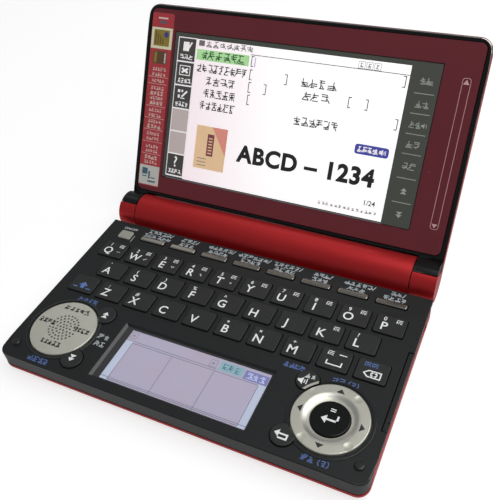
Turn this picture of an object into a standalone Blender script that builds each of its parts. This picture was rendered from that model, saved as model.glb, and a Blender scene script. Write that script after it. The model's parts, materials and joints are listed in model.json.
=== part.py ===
"""A folding electronic dictionary: a keyboard base with a battery barrel, and a screen lid hinged on it.

Units are metres. The base is drawn in its own deck frame: X to the right, Y back from the front edge
of the deck, Z up from the deck's face. The lid is drawn in a hinge frame: X along the hinge, Y from the
hinge to the lid's far edge, Z out of the screen. Both frames hang on empties, so that the finished
object stands on its feet at Z = 0, centred on the world origin, with its lid open as it is used.
"""

import math

import bmesh
import bpy
from mathutils import Vector

for old in list(bpy.data.objects):
    bpy.data.objects.remove(old, do_unlink=True)

# Clearances
GAP = 0.0003                # between two pieces that touch or are clipped together
HINGE_GAP = 0.0004          # between the lid and what it turns past
OVERRUN = 0.0020            # how far a cutter runs past the face it opens

# Battery barrel, which sets the width of the product
CELL_RADIUS = 0.0071
CELL_LENGTH = 0.0505
CELL_NUB_RADIUS = 0.0028
CELL_NUB_LENGTH = 0.0012
BARREL_WALL = 0.0008
HINGE_POCKET = 0.0122       # room for a hinge between the cells and each end of the barrel
POCKET_WALL = 0.0012
KNUCKLE_LEFT = 0.0090       # width of the hinge knuckle at each end of the barrel
KNUCKLE_RIGHT = 0.0104
BARREL_RADIUS = CELL_RADIUS + GAP + BARREL_WALL
BORE_RADIUS = CELL_RADIUS + GAP
BORE_LENGTH = 2 * CELL_LENGTH + 3 * GAP
BARREL_LENGTH = BORE_LENGTH + 2 * (HINGE_POCKET + POCKET_WALL / 2)
BODY_WIDTH = BARREL_LENGTH + KNUCKLE_LEFT + KNUCKLE_RIGHT + 2 * HINGE_GAP
BARREL_MIDDLE = (KNUCKLE_LEFT - KNUCKLE_RIGHT) / 2
BARREL_LEFT = BARREL_MIDDLE - BARREL_LENGTH / 2
BARREL_RIGHT = BARREL_LEFT + BARREL_LENGTH

# Deck seen from above, from the front edge back: controls, three letter rows, menu row
CONTROL_DEPTH = 0.0357
KEY_DEPTH = 0.0089
ROW_WEB = 0.0022
MENU_DEPTH = 0.0128
BARREL_FROM_DECK = 0.0025   # open channel between the back edge of the deck and the barrel
DECK_INSET = 0.0008         # the deck stands in from the shell
ROW_PITCH = KEY_DEPTH + ROW_WEB
DECK_LENGTH = CONTROL_DEPTH + 3 * ROW_PITCH + MENU_DEPTH
DECK_WIDTH = BODY_WIDTH - 2 * DECK_INSET

# Letter keys and the row of menu keys behind them
KEY_FIELD_MARGIN = 0.0040
COLUMN_WEB = 0.0024
KEY_RISE = 0.0007
KEY_TRAVEL = 0.0009
KEY_CORNER = 0.0009
LEAST_CORNER_SHARE = 0.25    # of a key's depth, on keys too small for the full corner
KEY_CHAMFER = 0.0003
KEY_COLUMNS = 10
KEY_PITCH = (DECK_WIDTH - 2 * KEY_FIELD_MARGIN) / KEY_COLUMNS
KEY_WIDTH = KEY_PITCH - COLUMN_WEB
MENU_KEYS = 8
MENU_KEY_DEPTH = 0.0026
MENU_WEB = 0.0032
MENU_RIGHT_MARGIN = 0.0058
MENU_FRONT_MARGIN = 0.0054  # last letter row to the middle of the menu keys
POWER_ZONE = 0.0166         # width of deck kept for the power key
POWER_KEY_MARGIN = 0.0073   # left edge of the deck to the power key
POWER_KEY_WIDTH = 0.0063
POWER_KEY_DEPTH = 0.0050
MENU_PITCH = (DECK_WIDTH - POWER_ZONE - MENU_RIGHT_MARGIN) / MENU_KEYS
MENU_KEY_WIDTH = MENU_PITCH - MENU_WEB

# Control area: two round rockers, four small round keys, the enter key and the pen display
CONTROL_FRONT = 0.0010
ROCKER_MARGIN = 0.0040
SATELLITE_RADIUS = 0.00425
SATELLITE_MARGIN = 0.0017
SATELLITE_REACH = 0.0035    # small key centres lie this far outside the rocker's edge
PAD_SIDE_MARGIN = 0.0040
RING_SIDE_MARGIN = 0.0047
RING_WIDTH = 0.00635        # rim and dished slope together
RING_GROOVE = 0.0026        # width of the dished slope inside the ring's flat rim
RING_RISE = 0.0008
RING_DISH = 0.0006          # how far the slope drops towards the enter key
PAD_RISE = 0.0005
ENTER_RISE = 0.0005
ROUND_CHAMFER = 0.0004
PEN_LEFT_MARGIN = 0.0057
PEN_RIGHT_MARGIN = 0.0076
PEN_FRONT_MARGIN = 0.0035
PEN_BACK_MARGIN = 0.0060
PEN_SINK = 0.0010
CONTROL_HALF = (CONTROL_DEPTH - CONTROL_FRONT) / 2
CONTROL_MIDDLE = CONTROL_FRONT + CONTROL_HALF
ROCKER_RADIUS = CONTROL_HALF - ROCKER_MARGIN
ENTER_RADIUS = ROCKER_RADIUS - RING_WIDTH - GAP
SATELLITE_Y = CONTROL_HALF - SATELLITE_MARGIN - SATELLITE_RADIUS
SATELLITE_X = math.sqrt((ROCKER_RADIUS + SATELLITE_REACH) ** 2 - SATELLITE_Y ** 2)
PAD_X = -(DECK_WIDTH / 2 - PAD_SIDE_MARGIN - ROCKER_RADIUS)
RING_X = DECK_WIDTH / 2 - RING_SIDE_MARGIN - ROCKER_RADIUS

# Speaker grille in the left rocker
GRILLE_HOLE_RADIUS = 0.00045
GRILLE_PITCH = 0.0023
GRILLE_RINGS = 2
PAD_SHELL = 0.0009
PAD_RIM = 0.0020

# What lies under the deck, from the top down
DECK_THICKNESS = 0.0015
FLANGE_THICKNESS = 0.0008
FLANGE_LIP = 0.0006
ROCK_ANGLE = math.radians(2)
ROCKER_LIP = 0.0010
ROCKER_FLANGE = 0.0005
ENTER_FLANGE = 0.0004
ENTER_TRAVEL = 0.0006
MAT_THICKNESS = 0.0008
BOARD_THICKNESS = 0.0010
POST_HEIGHT = 0.0016
FLOOR_THICKNESS = 0.0015
KEY_FLANGE_TOP = -(DECK_THICKNESS + GAP)
ROCKER_FLANGE_RADIUS = ROCKER_RADIUS + ROCKER_LIP
ROCKER_FLANGE_TOP = -(DECK_THICKNESS + GAP + ROCKER_FLANGE_RADIUS * math.sin(ROCK_ANGLE))
ROCKER_BOTTOM = ROCKER_FLANGE_TOP - ROCKER_FLANGE
ENTER_FLANGE_RADIUS = ENTER_RADIUS + FLANGE_LIP + HINGE_GAP
ENTER_FLANGE_TOP = ROCKER_BOTTOM - GAP - ENTER_FLANGE_RADIUS * math.sin(ROCK_ANGLE)
ENTER_BOTTOM = ENTER_FLANGE_TOP - ENTER_FLANGE
MAT_TOP = ENTER_BOTTOM - ENTER_TRAVEL - GAP
BOARD_TOP = MAT_TOP - MAT_THICKNESS - GAP
BOARD_BOTTOM = BOARD_TOP - BOARD_THICKNESS
FLOOR_TOP = BOARD_BOTTOM - GAP - POST_HEIGHT
BASE_BOTTOM = FLOOR_TOP - FLOOR_THICKNESS

# Shell and deck walls
SIDE_WALL = 0.0016
DECK_SKIRT = 0.0015
SIDE_BAND = 0.0025          # height of deck edge that shows above the shell at the sides
FRONT_BAND = 0.0064         # and at the front
BAND_SLOPE_START = 0.0010
BAND_SLOPE_END = 0.0075
SHELL_CORNER = 0.0046
SHELL_REAR_CORNER = 0.0034
SHELL_EDGE = 0.0013
DECK_EDGE = 0.0006
BOARD_MARGIN = 0.0020       # between the shell's inner wall and the boards
POST_RADIUS = 0.0022
POST_INSET = 0.0050
LIP_WIDTH = 0.0009          # raised lip round each rocker
LIP_GROOVE = 0.0006
LIP_HEIGHT = 0.0003
BUMPER_RADIUS = 0.0017
BUMPER_INSET = 0.0039
BUMPER_FROM_FRONT = 0.0058
BUMPER_ROUND_SHARE = 0.7    # of its height
SPEAKER_RADIUS = 0.0085
NOTCH_FROM_BACK = 0.0136    # strap notch in the right wall
NOTCH_WIDTH = 0.0038
NOTCH_DEPTH = 0.0010

# Stylus and its channel in the right edge of the deck
STYLUS_LENGTH = 0.0337
STYLUS_WIDTH = 0.0012
STYLUS_FROM_FRONT = 0.0204
STYLUS_NAIL = 0.0038
STYLUS_NAIL_DEPTH = 0.0007
STYLUS_TOP_STEP = 0.0001
CHANNEL_WALL = 0.0008

# Hump under the barrel, battery cover and feet
HINGE_DROP = 0.00105        # hinge axis below the deck's face
HUMP_ROUND = 0.0034
HUMP_REAR_INSET = 0.0012
COVER_SEAT = 0.0010         # the battery cover's window runs past the cells by this at each end
COVER_DROP = 0.0026         # top edge of that window below the hinge axis
FOOT_HEIGHT = 0.0006
FOOT_LENGTH = 0.0090
FOOT_DEPTH = 0.0044
FOOT_CORNER = 0.0012
FOOT_SIDE_INSET = 0.0165
FOOT_FRONT_INSET = 0.0062
FOOT_REAR_INSET = 0.0060

# Hinge parts
PIN_RADIUS = 0.0028
PIN_LENGTH = 0.0056
HINGE_BODY_RADIUS = 0.0050
SHAFT_RADIUS = 0.0020
SHAFT_INTO_KNUCKLE = 0.0076

# Lid, from its face to its back
LID_RISE = math.radians(59)  # lid above the horizontal when it is open as used
CLOSED_GAP = 0.0012          # between the deck's face and the lid's face when shut
LID_FRONT_INSET = 0.0002
LID_RIM_STEP = 0.0003        # the shell's rim stands a little behind the face
LID_RIM_WALL = 0.0011
LID_INSET = 0.0006           # the lid is a little narrower than the base
BEZEL_SINK = 0.0001
BEZEL_THICKNESS = 0.0008
DISPLAY_THICKNESS = 0.0020
FRAME_FLOOR = 0.0005
LID_BACK_WALL = 0.0012
LID_CORNER = 0.0065
LID_EDGE = 0.0024
BEZEL_SIDE_MARGIN = 0.0027
BEZEL_TOP_MARGIN = 0.0026
BEZEL_FOOT = 0.0102          # hinge axis to the near edge of the bezel
BEZEL_CORNER = 0.0025
WINDOW_LEFT = 0.0116
WINDOW_RIGHT = 0.0131
WINDOW_FOOT = 0.0073
WINDOW_TOP = 0.0078
DISPLAY_OVERLAP = 0.0010
KNUCKLE_SEAM_SHARE = 0.47    # height of the two-colour seam, in barrel radii
HINGE_Y = DECK_LENGTH + BARREL_FROM_DECK + BARREL_RADIUS
LID_LENGTH = HINGE_Y - LID_FRONT_INSET
FACE = -(HINGE_DROP + CLOSED_GAP)
BEZEL_TOP = FACE - BEZEL_SINK
BEZEL_BOTTOM = BEZEL_TOP - BEZEL_THICKNESS
DISPLAY_TOP = BEZEL_BOTTOM - GAP
DISPLAY_BOTTOM = DISPLAY_TOP - DISPLAY_THICKNESS
FRAME_BACK = DISPLAY_BOTTOM - GAP - FRAME_FLOOR
LID_BACK = FRAME_BACK - GAP - LID_BACK_WALL
KNUCKLE_SEAM = BARREL_RADIUS * KNUCKLE_SEAM_SHARE

# Facets
BARREL_STEPS = 48
ROCKER_STEPS = 36
SMALL_STEPS = 24
CORNER_STEPS = 4
EDGE_STEPS = 2
LID_EDGE_STEPS = 3
SMOOTH_ANGLE = math.radians(30)
MERGE = 0.00001


def rear_reach():
    """How far behind the hinge the rounded far edge of the open lid comes."""
    along = (LID_LENGTH - LID_EDGE) * math.cos(LID_RISE)
    across = (-LID_BACK - LID_EDGE) * math.sin(LID_RISE)
    return along + across + LID_EDGE


FRONT_REACH = DECK_INSET
DEPTH = FRONT_REACH + HINGE_Y + rear_reach()

parts = bpy.data.collections.new("electronic_dictionary")
tools = bpy.data.collections.new("cutters")
tools.hide_render = True
bpy.context.scene.collection.children.link(parts)
bpy.context.scene.collection.children.link(tools)


def frame_empty(name, location, parent=None, turn=0):
    empty = bpy.data.objects.new(name, None)
    empty.location = location
    empty.rotation_euler = (turn, 0, 0)
    empty.parent = parent
    parts.objects.link(empty)
    return empty


deck = frame_empty("deck_frame", (0, FRONT_REACH - DEPTH / 2, FOOT_HEIGHT - BASE_BOTTOM))
hinge = frame_empty("hinge_frame", (0, HINGE_Y, -HINGE_DROP), deck, LID_RISE)


def material(name, colour, roughness, metallic=0):
    made = bpy.data.materials.new(name)
    made.use_nodes = True
    shader = made.node_tree.nodes["Principled BSDF"]
    shader.inputs["Base Color"].default_value = (*colour, 1)
    shader.inputs["Roughness"].default_value = roughness
    shader.inputs["Metallic"].default_value = metallic
    made.diffuse_color = (*colour, 1)
    return made


def thing(name, bm, home, place=(0, 0, 0)):
    """Turns a bmesh into an object in its home frame, with its faces pointing out."""
    if bm.calc_volume(signed=True) < 0:
        bmesh.ops.reverse_faces(bm, faces=bm.faces[:])
    mesh = bpy.data.meshes.new(name)
    bm.to_mesh(mesh)
    bm.free()
    obj = bpy.data.objects.new(name, mesh)
    obj.parent = home
    obj.location = place
    parts.objects.link(obj)
    return obj


def block_mesh(low, high):
    low, high = Vector(low), Vector(high)
    bm = bmesh.new()
    bmesh.ops.create_cube(bm, size=1)
    bmesh.ops.scale(bm, vec=high - low, verts=bm.verts[:])
    bmesh.ops.translate(bm, vec=(low + high) / 2, verts=bm.verts[:])
    return bm


def bevel(bm, edges, radius, steps):
    bmesh.ops.bevel(bm, geom=edges, offset=radius, segments=steps, profile=0.5, affect="EDGES")


def upright_edges(bm, keep=lambda x, y: True):
    """Edges along Z whose place in plan passes a test."""
    return [e for e in bm.edges if (e.verts[0].co - e.verts[1].co).xy.length < GAP
            and keep(e.verts[0].co.x, e.verts[0].co.y)]


def edges_at_height(bm, height, keep=lambda x, y: True):
    """Edges that lie at one height and whose middle in plan passes a test."""
    return [e for e in bm.edges if all(abs(v.co.z - height) < GAP / 2 for v in e.verts)
            and keep(*((e.verts[0].co + e.verts[1].co) / 2).xy)]


def block(name, low, high, home, corner=0, steps=1):
    """A box, with its upright edges rounded where a corner is given."""
    bm = block_mesh(low, high)
    if corner:
        bevel(bm, upright_edges(bm), corner, steps)
    return thing(name, bm, home)


def drum(name, radius, steps, start, end, home, across=(0, 0)):
    """A cylinder along X from start to end, its axis at across in Y and Z."""
    bm = bmesh.new()
    bmesh.ops.create_cone(bm, cap_ends=True, segments=steps, radius1=radius, radius2=radius,
                          depth=end - start)
    for v in bm.verts:
        v.co = Vector((v.co.z + (start + end) / 2, v.co.x + across[0], v.co.y + across[1]))
    return thing(name, bm, home)


def disc(name, radius, steps, centre, low, high, home):
    """An upright cylinder."""
    bm = bmesh.new()
    bmesh.ops.create_cone(bm, cap_ends=True, segments=steps, radius1=radius, radius2=radius, depth=high - low)
    bmesh.ops.translate(bm, vec=(*centre, (low + high) / 2), verts=bm.verts[:])
    return thing(name, bm, home)


def turned(name, profile, steps, home, place, ring=False):
    """A profile of radius and height turned about Z. It runs down its outer side."""
    mesh = bpy.data.meshes.new(name)
    joins = [(i, i + 1) for i in range(len(profile) - 1)]
    if ring:
        joins.append((len(profile) - 1, 0))
    mesh.from_pydata([(r, 0, z) for r, z in profile], joins, [])
    obj = bpy.data.objects.new(name, mesh)
    obj.parent = home
    obj.location = place
    parts.objects.link(obj)
    screw = obj.modifiers.new("turn", "SCREW")
    screw.steps = screw.render_steps = steps
    screw.use_merge_vertices = True
    screw.merge_threshold = MERGE
    return obj


def combine(obj, other, operation):
    """Adds, cuts or intersects with another object, which becomes a helper."""
    boolean = obj.modifiers.new(other.name, "BOOLEAN")
    boolean.solver = "EXACT"
    boolean.operation = operation
    boolean.object = other
    other.hide_render = True
    other.display_type = "WIRE"
    if other.name in parts.objects:
        parts.objects.unlink(other)
        tools.objects.link(other)


def add(obj, *others):
    for other in others:
        combine(obj, other, "UNION")


def cut(obj, *others):
    for other in others:
        combine(obj, other, "DIFFERENCE")


def finish(obj, made_of, smooth=True):
    obj.data.materials.append(made_of)
    if smooth:
        obj.data.shade_smooth()
        obj.data.set_sharp_from_angle(angle=SMOOTH_ANGLE)
    return obj


red_shell = material("red painted shell", (0.33, 0.02, 0.02), 0.28)
black_plastic = material("black matt plastic", (0.019, 0.021, 0.021), 0.45)
key_plastic = material("black key plastic", (0.025, 0.026, 0.026), 0.5)
silver_plastic = material("silver painted plastic", (0.45, 0.45, 0.40), 0.35, 0.5)
wine_acrylic = material("wine acrylic", (0.10, 0.018, 0.025), 0.12)
display_glass = material("display glass", (0.80, 0.78, 0.80), 0.2)
board_green = material("circuit board", (0.02, 0.12, 0.05), 0.5)
grey_rubber = material("grey rubber", (0.15, 0.15, 0.16), 0.7)
cell_jacket = material("cell jacket", (0.05, 0.10, 0.30), 0.35)
steel = material("steel", (0.55, 0.55, 0.56), 0.3, 1)

SHELL_HALF = BODY_WIDTH / 2
LID_HALF = SHELL_HALF - LID_INSET
DECK_HALF = DECK_WIDTH / 2
AXIS = (HINGE_Y, -HINGE_DROP)
INNER_HALF = SHELL_HALF - SIDE_WALL
INNER_FRONT = SIDE_WALL - DECK_INSET


def band_profile(name, drop, home):
    """A wide prism under the line that parts deck and shell, which steps down at the front."""
    side, front = SIDE_BAND + drop, FRONT_BAND + drop
    deep = -BASE_BOTTOM + OVERRUN
    outline = [(-OVERRUN, -front), (BAND_SLOPE_START, -front), (BAND_SLOPE_END, -side),
               (HINGE_Y, -side), (HINGE_Y, -deep), (-OVERRUN, -deep)]
    bm = bmesh.new()
    face = bm.faces.new([bm.verts.new((-SHELL_HALF - OVERRUN, y, z)) for y, z in outline])
    swept = bmesh.ops.extrude_face_region(bm, geom=[face])["geom"]
    sweep = (BODY_WIDTH + 2 * OVERRUN, 0, 0)
    bmesh.ops.translate(bm, vec=sweep, verts=[v for v in swept if isinstance(v, bmesh.types.BMVert)])
    return thing(name, bm, home)


def lower_case():
    """Red tub with the battery barrel, posts for the board, feet and a strap notch."""
    bm = block_mesh((-SHELL_HALF, -DECK_INSET, BASE_BOTTOM), (SHELL_HALF, DECK_LENGTH, 0))
    bevel(bm, upright_edges(bm, lambda x, y: y < CONTROL_DEPTH), SHELL_CORNER, CORNER_STEPS)
    bevel(bm, upright_edges(bm, lambda x, y: y > DECK_LENGTH - GAP), SHELL_REAR_CORNER, EDGE_STEPS)
    bevel(bm, edges_at_height(bm, BASE_BOTTOM), SHELL_EDGE, EDGE_STEPS)
    case = thing("lower_case", bm, deck)
    combine(case, band_profile("shell_under_band", 0, deck), "INTERSECT")

    add(case, hump("battery_hump"))
    add(case, drum("barrel", BARREL_RADIUS, BARREL_STEPS, BARREL_LEFT, BARREL_RIGHT, deck, AXIS))

    cut(case, block("case_cavity", (-INNER_HALF, INNER_FRONT, FLOOR_TOP),
                    (INNER_HALF, DECK_LENGTH - SIDE_WALL, OVERRUN), deck,
                    SHELL_CORNER - SIDE_WALL, CORNER_STEPS))
    cut(case, drum("cell_bore", BORE_RADIUS, BARREL_STEPS, BARREL_MIDDLE - BORE_LENGTH / 2,
                   BARREL_MIDDLE + BORE_LENGTH / 2, deck, AXIS))
    cut(case, cover_block("cover_window", 0))
    cut(case, drum("pin_bore", PIN_RADIUS + GAP, SMALL_STEPS, BARREL_LEFT - OVERRUN,
                   BARREL_LEFT + PIN_LENGTH + GAP, deck, AXIS))
    cut(case, drum("hinge_bore", HINGE_BODY_RADIUS + GAP, SMALL_STEPS,
                   BARREL_RIGHT - HINGE_POCKET + POCKET_WALL, BARREL_RIGHT + OVERRUN, deck, AXIS))
    notch_back = DECK_LENGTH - NOTCH_FROM_BACK
    cut(case, block("strap_notch", (SHELL_HALF - NOTCH_DEPTH, notch_back, BASE_BOTTOM / 2),
                    (SHELL_HALF + OVERRUN, notch_back + NOTCH_WIDTH, OVERRUN), deck))

    for i, (x, y) in enumerate(post_places()):
        add(case, disc(f"board_post_{i}", POST_RADIUS, SMALL_STEPS // 2, (x, y),
                       FLOOR_TOP - FLOOR_THICKNESS / 2, FLOOR_TOP + POST_HEIGHT, deck))
    for i, (x, y) in enumerate(foot_places()):
        add(case, block(f"foot_{i}", (x - FOOT_LENGTH / 2, y - FOOT_DEPTH / 2, BASE_BOTTOM - FOOT_HEIGHT),
                        (x + FOOT_LENGTH / 2, y + FOOT_DEPTH / 2, BASE_BOTTOM + FLOOR_THICKNESS / 2), deck,
                        FOOT_CORNER))
    return finish(case, red_shell)


def post_places():
    across = INNER_HALF - BOARD_MARGIN - POST_INSET
    front = INNER_FRONT + BOARD_MARGIN + POST_INSET
    back = DECK_LENGTH - SIDE_WALL - BOARD_MARGIN - POST_INSET
    return [(-across, front), (across, front), (-across, back), (0, back), (across, back), (0, CONTROL_DEPTH)]


def foot_places():
    across = SHELL_HALF - FOOT_SIDE_INSET
    back = HINGE_Y - HUMP_REAR_INSET - FOOT_REAR_INSET
    return [(-across, FOOT_FRONT_INSET), (across, FOOT_FRONT_INSET), (-across, back), (across, back)]


def hump(name):
    """The block under the barrel, rounded at its lower back edge."""
    rear = HINGE_Y - HUMP_REAR_INSET
    bm = block_mesh((BARREL_LEFT, DECK_LENGTH - SIDE_WALL, BASE_BOTTOM), (BARREL_RIGHT, rear, -SIDE_BAND))
    bevel(bm, edges_at_height(bm, BASE_BOTTOM, lambda x, y: y > rear - GAP), HUMP_ROUND, CORNER_STEPS)
    return thing(name, bm, deck)


def cover_block(name, inset):
    """The window for the battery cover, or the room that the cover fills when it is inset by the gap."""
    across = BORE_LENGTH / 2 + COVER_SEAT - inset
    return block(name, (BARREL_MIDDLE - across, HINGE_Y - BORE_RADIUS + inset, BASE_BOTTOM - OVERRUN),
                 (BARREL_MIDDLE + across, HINGE_Y + BARREL_RADIUS + OVERRUN,
                  -HINGE_DROP - COVER_DROP - inset), deck)


def battery_cover():
    """Red cover that makes the lower half of the barrel. It comes off straight down and lets the cells out."""
    cover = cover_block("battery_cover", GAP)
    outside = drum("cover_outside", BARREL_RADIUS, BARREL_STEPS, BARREL_LEFT, BARREL_RIGHT, deck, AXIS)
    add(outside, hump("cover_hump"))
    combine(cover, outside, "INTERSECT")
    cut(cover, drum("cover_inside", BORE_RADIUS, BARREL_STEPS, BARREL_LEFT, BARREL_RIGHT, deck, AXIS))
    return finish(cover, red_shell)


def cell(name, start):
    """AA cell along X, with its nub at the right end."""
    jacket = drum(name, CELL_RADIUS, SMALL_STEPS, start, start + CELL_LENGTH - CELL_NUB_LENGTH, deck, AXIS)
    add(jacket, drum(f"{name}_nub", CELL_NUB_RADIUS, SMALL_STEPS // 2, start + CELL_LENGTH / 2,
                     start + CELL_LENGTH, deck, AXIS))
    return finish(jacket, cell_jacket)


def friction_hinge():
    """Steel friction unit in the right end of the barrel, with the shaft that carries the lid."""
    start = BARREL_RIGHT - HINGE_POCKET + POCKET_WALL + GAP
    body = drum("friction_hinge", HINGE_BODY_RADIUS, SMALL_STEPS, start, BARREL_RIGHT - GAP, deck, AXIS)
    add(body, drum("hinge_shaft", SHAFT_RADIUS, SMALL_STEPS // 2, start + GAP,
                   BARREL_RIGHT + HINGE_GAP + SHAFT_INTO_KNUCKLE, deck, AXIS))
    return finish(body, steel)


letter_rows = ["qwertyuiop", "asdfghjkl", "zxcvbnm"]


def key_places():
    """Name, place and size of every rectangular key."""
    found = []
    middle = (KEY_COLUMNS - 1) / 2
    for row, letters in enumerate(letter_rows):
        y = CONTROL_DEPTH + (len(letter_rows) - row) * ROW_PITCH - ROW_PITCH / 2
        first = 1 if row == 2 else 0
        shift = KEY_PITCH / 2 if row == 1 else 0
        for i, letter in enumerate(letters):
            x = (i + first - middle) * KEY_PITCH + shift
            found.append((f"key_{letter}", (x, y), (KEY_WIDTH, KEY_DEPTH)))
    y = CONTROL_DEPTH + ROW_PITCH / 2
    for name, column in (("key_shift", 0), ("key_space", 8), ("key_delete", 9)):
        found.append((name, ((column - middle) * KEY_PITCH, y), (KEY_WIDTH, KEY_DEPTH)))
    y = CONTROL_DEPTH + 3 * ROW_PITCH + MENU_FRONT_MARGIN
    start = -DECK_HALF + POWER_ZONE + MENU_PITCH / 2
    for i in range(MENU_KEYS):
        found.append((f"menu_key_{i + 1}", (start + i * MENU_PITCH, y), (MENU_KEY_WIDTH, MENU_KEY_DEPTH)))
    power_x = -DECK_HALF + POWER_KEY_MARGIN + POWER_KEY_WIDTH / 2
    found.append(("power_key", (power_x, y - DECK_EDGE), (POWER_KEY_WIDTH, POWER_KEY_DEPTH)))
    return found


def key_corner(depth):
    return min(KEY_CORNER, depth * LEAST_CORNER_SHARE)


def key_mesh(name, width, depth):
    """Cap with a chamfered top and a flange that holds it under the deck."""
    bm = block_mesh((-width / 2, -depth / 2, KEY_FLANGE_TOP), (width / 2, depth / 2, KEY_RISE))
    bevel(bm, upright_edges(bm), key_corner(depth), 1)
    bevel(bm, edges_at_height(bm, KEY_RISE), KEY_CHAMFER, 1)
    under = min(bm.faces, key=lambda f: f.calc_center_median().z)
    widen = Vector(((width + 2 * FLANGE_LIP) / width, (depth + 2 * FLANGE_LIP) / depth, 1))
    for grow, drop in ((widen, 0), (Vector((1, 1, 1)), FLANGE_THICKNESS)):
        made = bmesh.ops.extrude_face_region(bm, geom=[under])["geom"]
        bmesh.ops.delete(bm, geom=[under], context="FACES_ONLY")
        under = next(f for f in made if isinstance(f, bmesh.types.BMFace))
        bmesh.ops.scale(bm, vec=grow, verts=under.verts[:])
        bmesh.ops.translate(bm, vec=(0, 0, -drop), verts=under.verts[:])
    mesh = bpy.data.meshes.new(name)
    bm.to_mesh(mesh)
    bm.free()
    return mesh


def rectangular_keys():
    meshes = {}
    for name, (x, y), size in key_places():
        if size not in meshes:
            letter = name.startswith("key_")
            meshes[size] = key_mesh(name, *size)
            meshes[size].materials.append(key_plastic if letter else silver_plastic)
        obj = bpy.data.objects.new(name, meshes[size])
        obj.parent = deck
        obj.location = (x, y, 0)
        parts.objects.link(obj)


def direction_ring():
    """Silver rocker ring with a dished inner slope, on a flange under the deck."""
    hole = ENTER_RADIUS + GAP
    groove = hole + RING_GROOVE
    profile = [(hole, RING_RISE - RING_DISH), (groove, RING_RISE), (ROCKER_RADIUS - ROUND_CHAMFER, RING_RISE),
               (ROCKER_RADIUS, RING_RISE - ROUND_CHAMFER), (ROCKER_RADIUS, ROCKER_FLANGE_TOP),
               (ROCKER_FLANGE_RADIUS, ROCKER_FLANGE_TOP), (ROCKER_FLANGE_RADIUS, ROCKER_BOTTOM),
               (hole, ROCKER_BOTTOM)]
    ring = turned("direction_ring", profile, ROCKER_STEPS, deck, (RING_X, CONTROL_MIDDLE, 0), ring=True)
    return finish(ring, silver_plastic)


def enter_key():
    profile = [(0, ENTER_RISE), (ENTER_RADIUS - ROUND_CHAMFER, ENTER_RISE),
               (ENTER_RADIUS, ENTER_RISE - ROUND_CHAMFER), (ENTER_RADIUS, ENTER_FLANGE_TOP),
               (ENTER_FLANGE_RADIUS, ENTER_FLANGE_TOP), (ENTER_FLANGE_RADIUS, ENTER_BOTTOM),
               (0, ENTER_BOTTOM)]
    return finish(turned("enter_key", profile, SMALL_STEPS, deck, (RING_X, CONTROL_MIDDLE, 0)), key_plastic)


def speaker_pad():
    """Silver rocker disc, hollow underneath, with the speaker's holes through its middle."""
    inside = ROCKER_RADIUS - PAD_RIM
    profile = [(0, PAD_RISE), (ROCKER_RADIUS - ROUND_CHAMFER, PAD_RISE),
               (ROCKER_RADIUS, PAD_RISE - ROUND_CHAMFER), (ROCKER_RADIUS, ROCKER_FLANGE_TOP),
               (ROCKER_FLANGE_RADIUS, ROCKER_FLANGE_TOP), (ROCKER_FLANGE_RADIUS, ROCKER_BOTTOM),
               (inside, ROCKER_BOTTOM), (inside, PAD_RISE - PAD_SHELL), (0, PAD_RISE - PAD_SHELL)]
    pad = turned("speaker_pad", profile, ROCKER_STEPS, deck, (PAD_X, CONTROL_MIDDLE, 0))
    bm = bmesh.new()
    for across in range(-GRILLE_RINGS, GRILLE_RINGS + 1):
        for up in range(-GRILLE_RINGS, GRILLE_RINGS + 1):
            if abs(across + up) > GRILLE_RINGS:
                continue
            x = (across + up / 2) * GRILLE_PITCH + PAD_X
            y = up * GRILLE_PITCH * math.sqrt(3) / 2 + CONTROL_MIDDLE
            made = bmesh.ops.create_cone(bm, cap_ends=True, segments=6, radius1=GRILLE_HOLE_RADIUS,
                                         radius2=GRILLE_HOLE_RADIUS, depth=2 * OVERRUN)
            bmesh.ops.translate(bm, vec=(x, y, 0), verts=made["verts"])
    cut(pad, thing("grille_holes", bm, deck))
    return finish(pad, silver_plastic)


def satellite_places():
    """The four small round keys: name, centre, and the rocker that cuts into them."""
    return [("page_up_key", (PAD_X + SATELLITE_X, CONTROL_MIDDLE + SATELLITE_Y), PAD_X),
            ("page_down_key", (PAD_X + SATELLITE_X, CONTROL_MIDDLE - SATELLITE_Y), PAD_X),
            ("voice_key", (RING_X - SATELLITE_X, CONTROL_MIDDLE + SATELLITE_Y), RING_X),
            ("exit_key", (RING_X - SATELLITE_X, CONTROL_MIDDLE - SATELLITE_Y), RING_X)]


def satellite_key(name, centre, rocker_x):
    """Round key with its flange, cut back where the rocker beside it needs room."""
    flange = SATELLITE_RADIUS + FLANGE_LIP
    bottom = KEY_FLANGE_TOP - FLANGE_THICKNESS
    profile = [(0, KEY_RISE), (SATELLITE_RADIUS - KEY_CHAMFER, KEY_RISE),
               (SATELLITE_RADIUS, KEY_RISE - KEY_CHAMFER), (SATELLITE_RADIUS, KEY_FLANGE_TOP),
               (flange, KEY_FLANGE_TOP), (flange, bottom), (0, bottom)]
    key = turned(name, profile, SMALL_STEPS, deck, (*centre, 0))
    rocker = (rocker_x, CONTROL_MIDDLE)
    step = KEY_TRAVEL - DECK_THICKNESS
    cut(key, disc(f"{name}_room_above", ROCKER_RADIUS + 2 * GAP, BARREL_STEPS, rocker,
                  step, KEY_RISE + OVERRUN, deck))
    cut(key, disc(f"{name}_room_below", ROCKER_FLANGE_RADIUS + 2 * GAP, BARREL_STEPS, rocker,
                  bottom - OVERRUN, step, deck))
    return finish(key, key_plastic)


def pen_opening():
    """Low and high corner, in plan, of the deck's opening for the pen display."""
    left = PAD_X + SATELLITE_X + SATELLITE_RADIUS + PEN_LEFT_MARGIN
    right = RING_X - SATELLITE_X - SATELLITE_RADIUS - PEN_RIGHT_MARGIN
    return (left, PEN_FRONT_MARGIN), (right, CONTROL_DEPTH - PEN_BACK_MARGIN)


def channel_ends():
    return STYLUS_FROM_FRONT - GAP, STYLUS_FROM_FRONT + STYLUS_LENGTH + GAP


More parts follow.
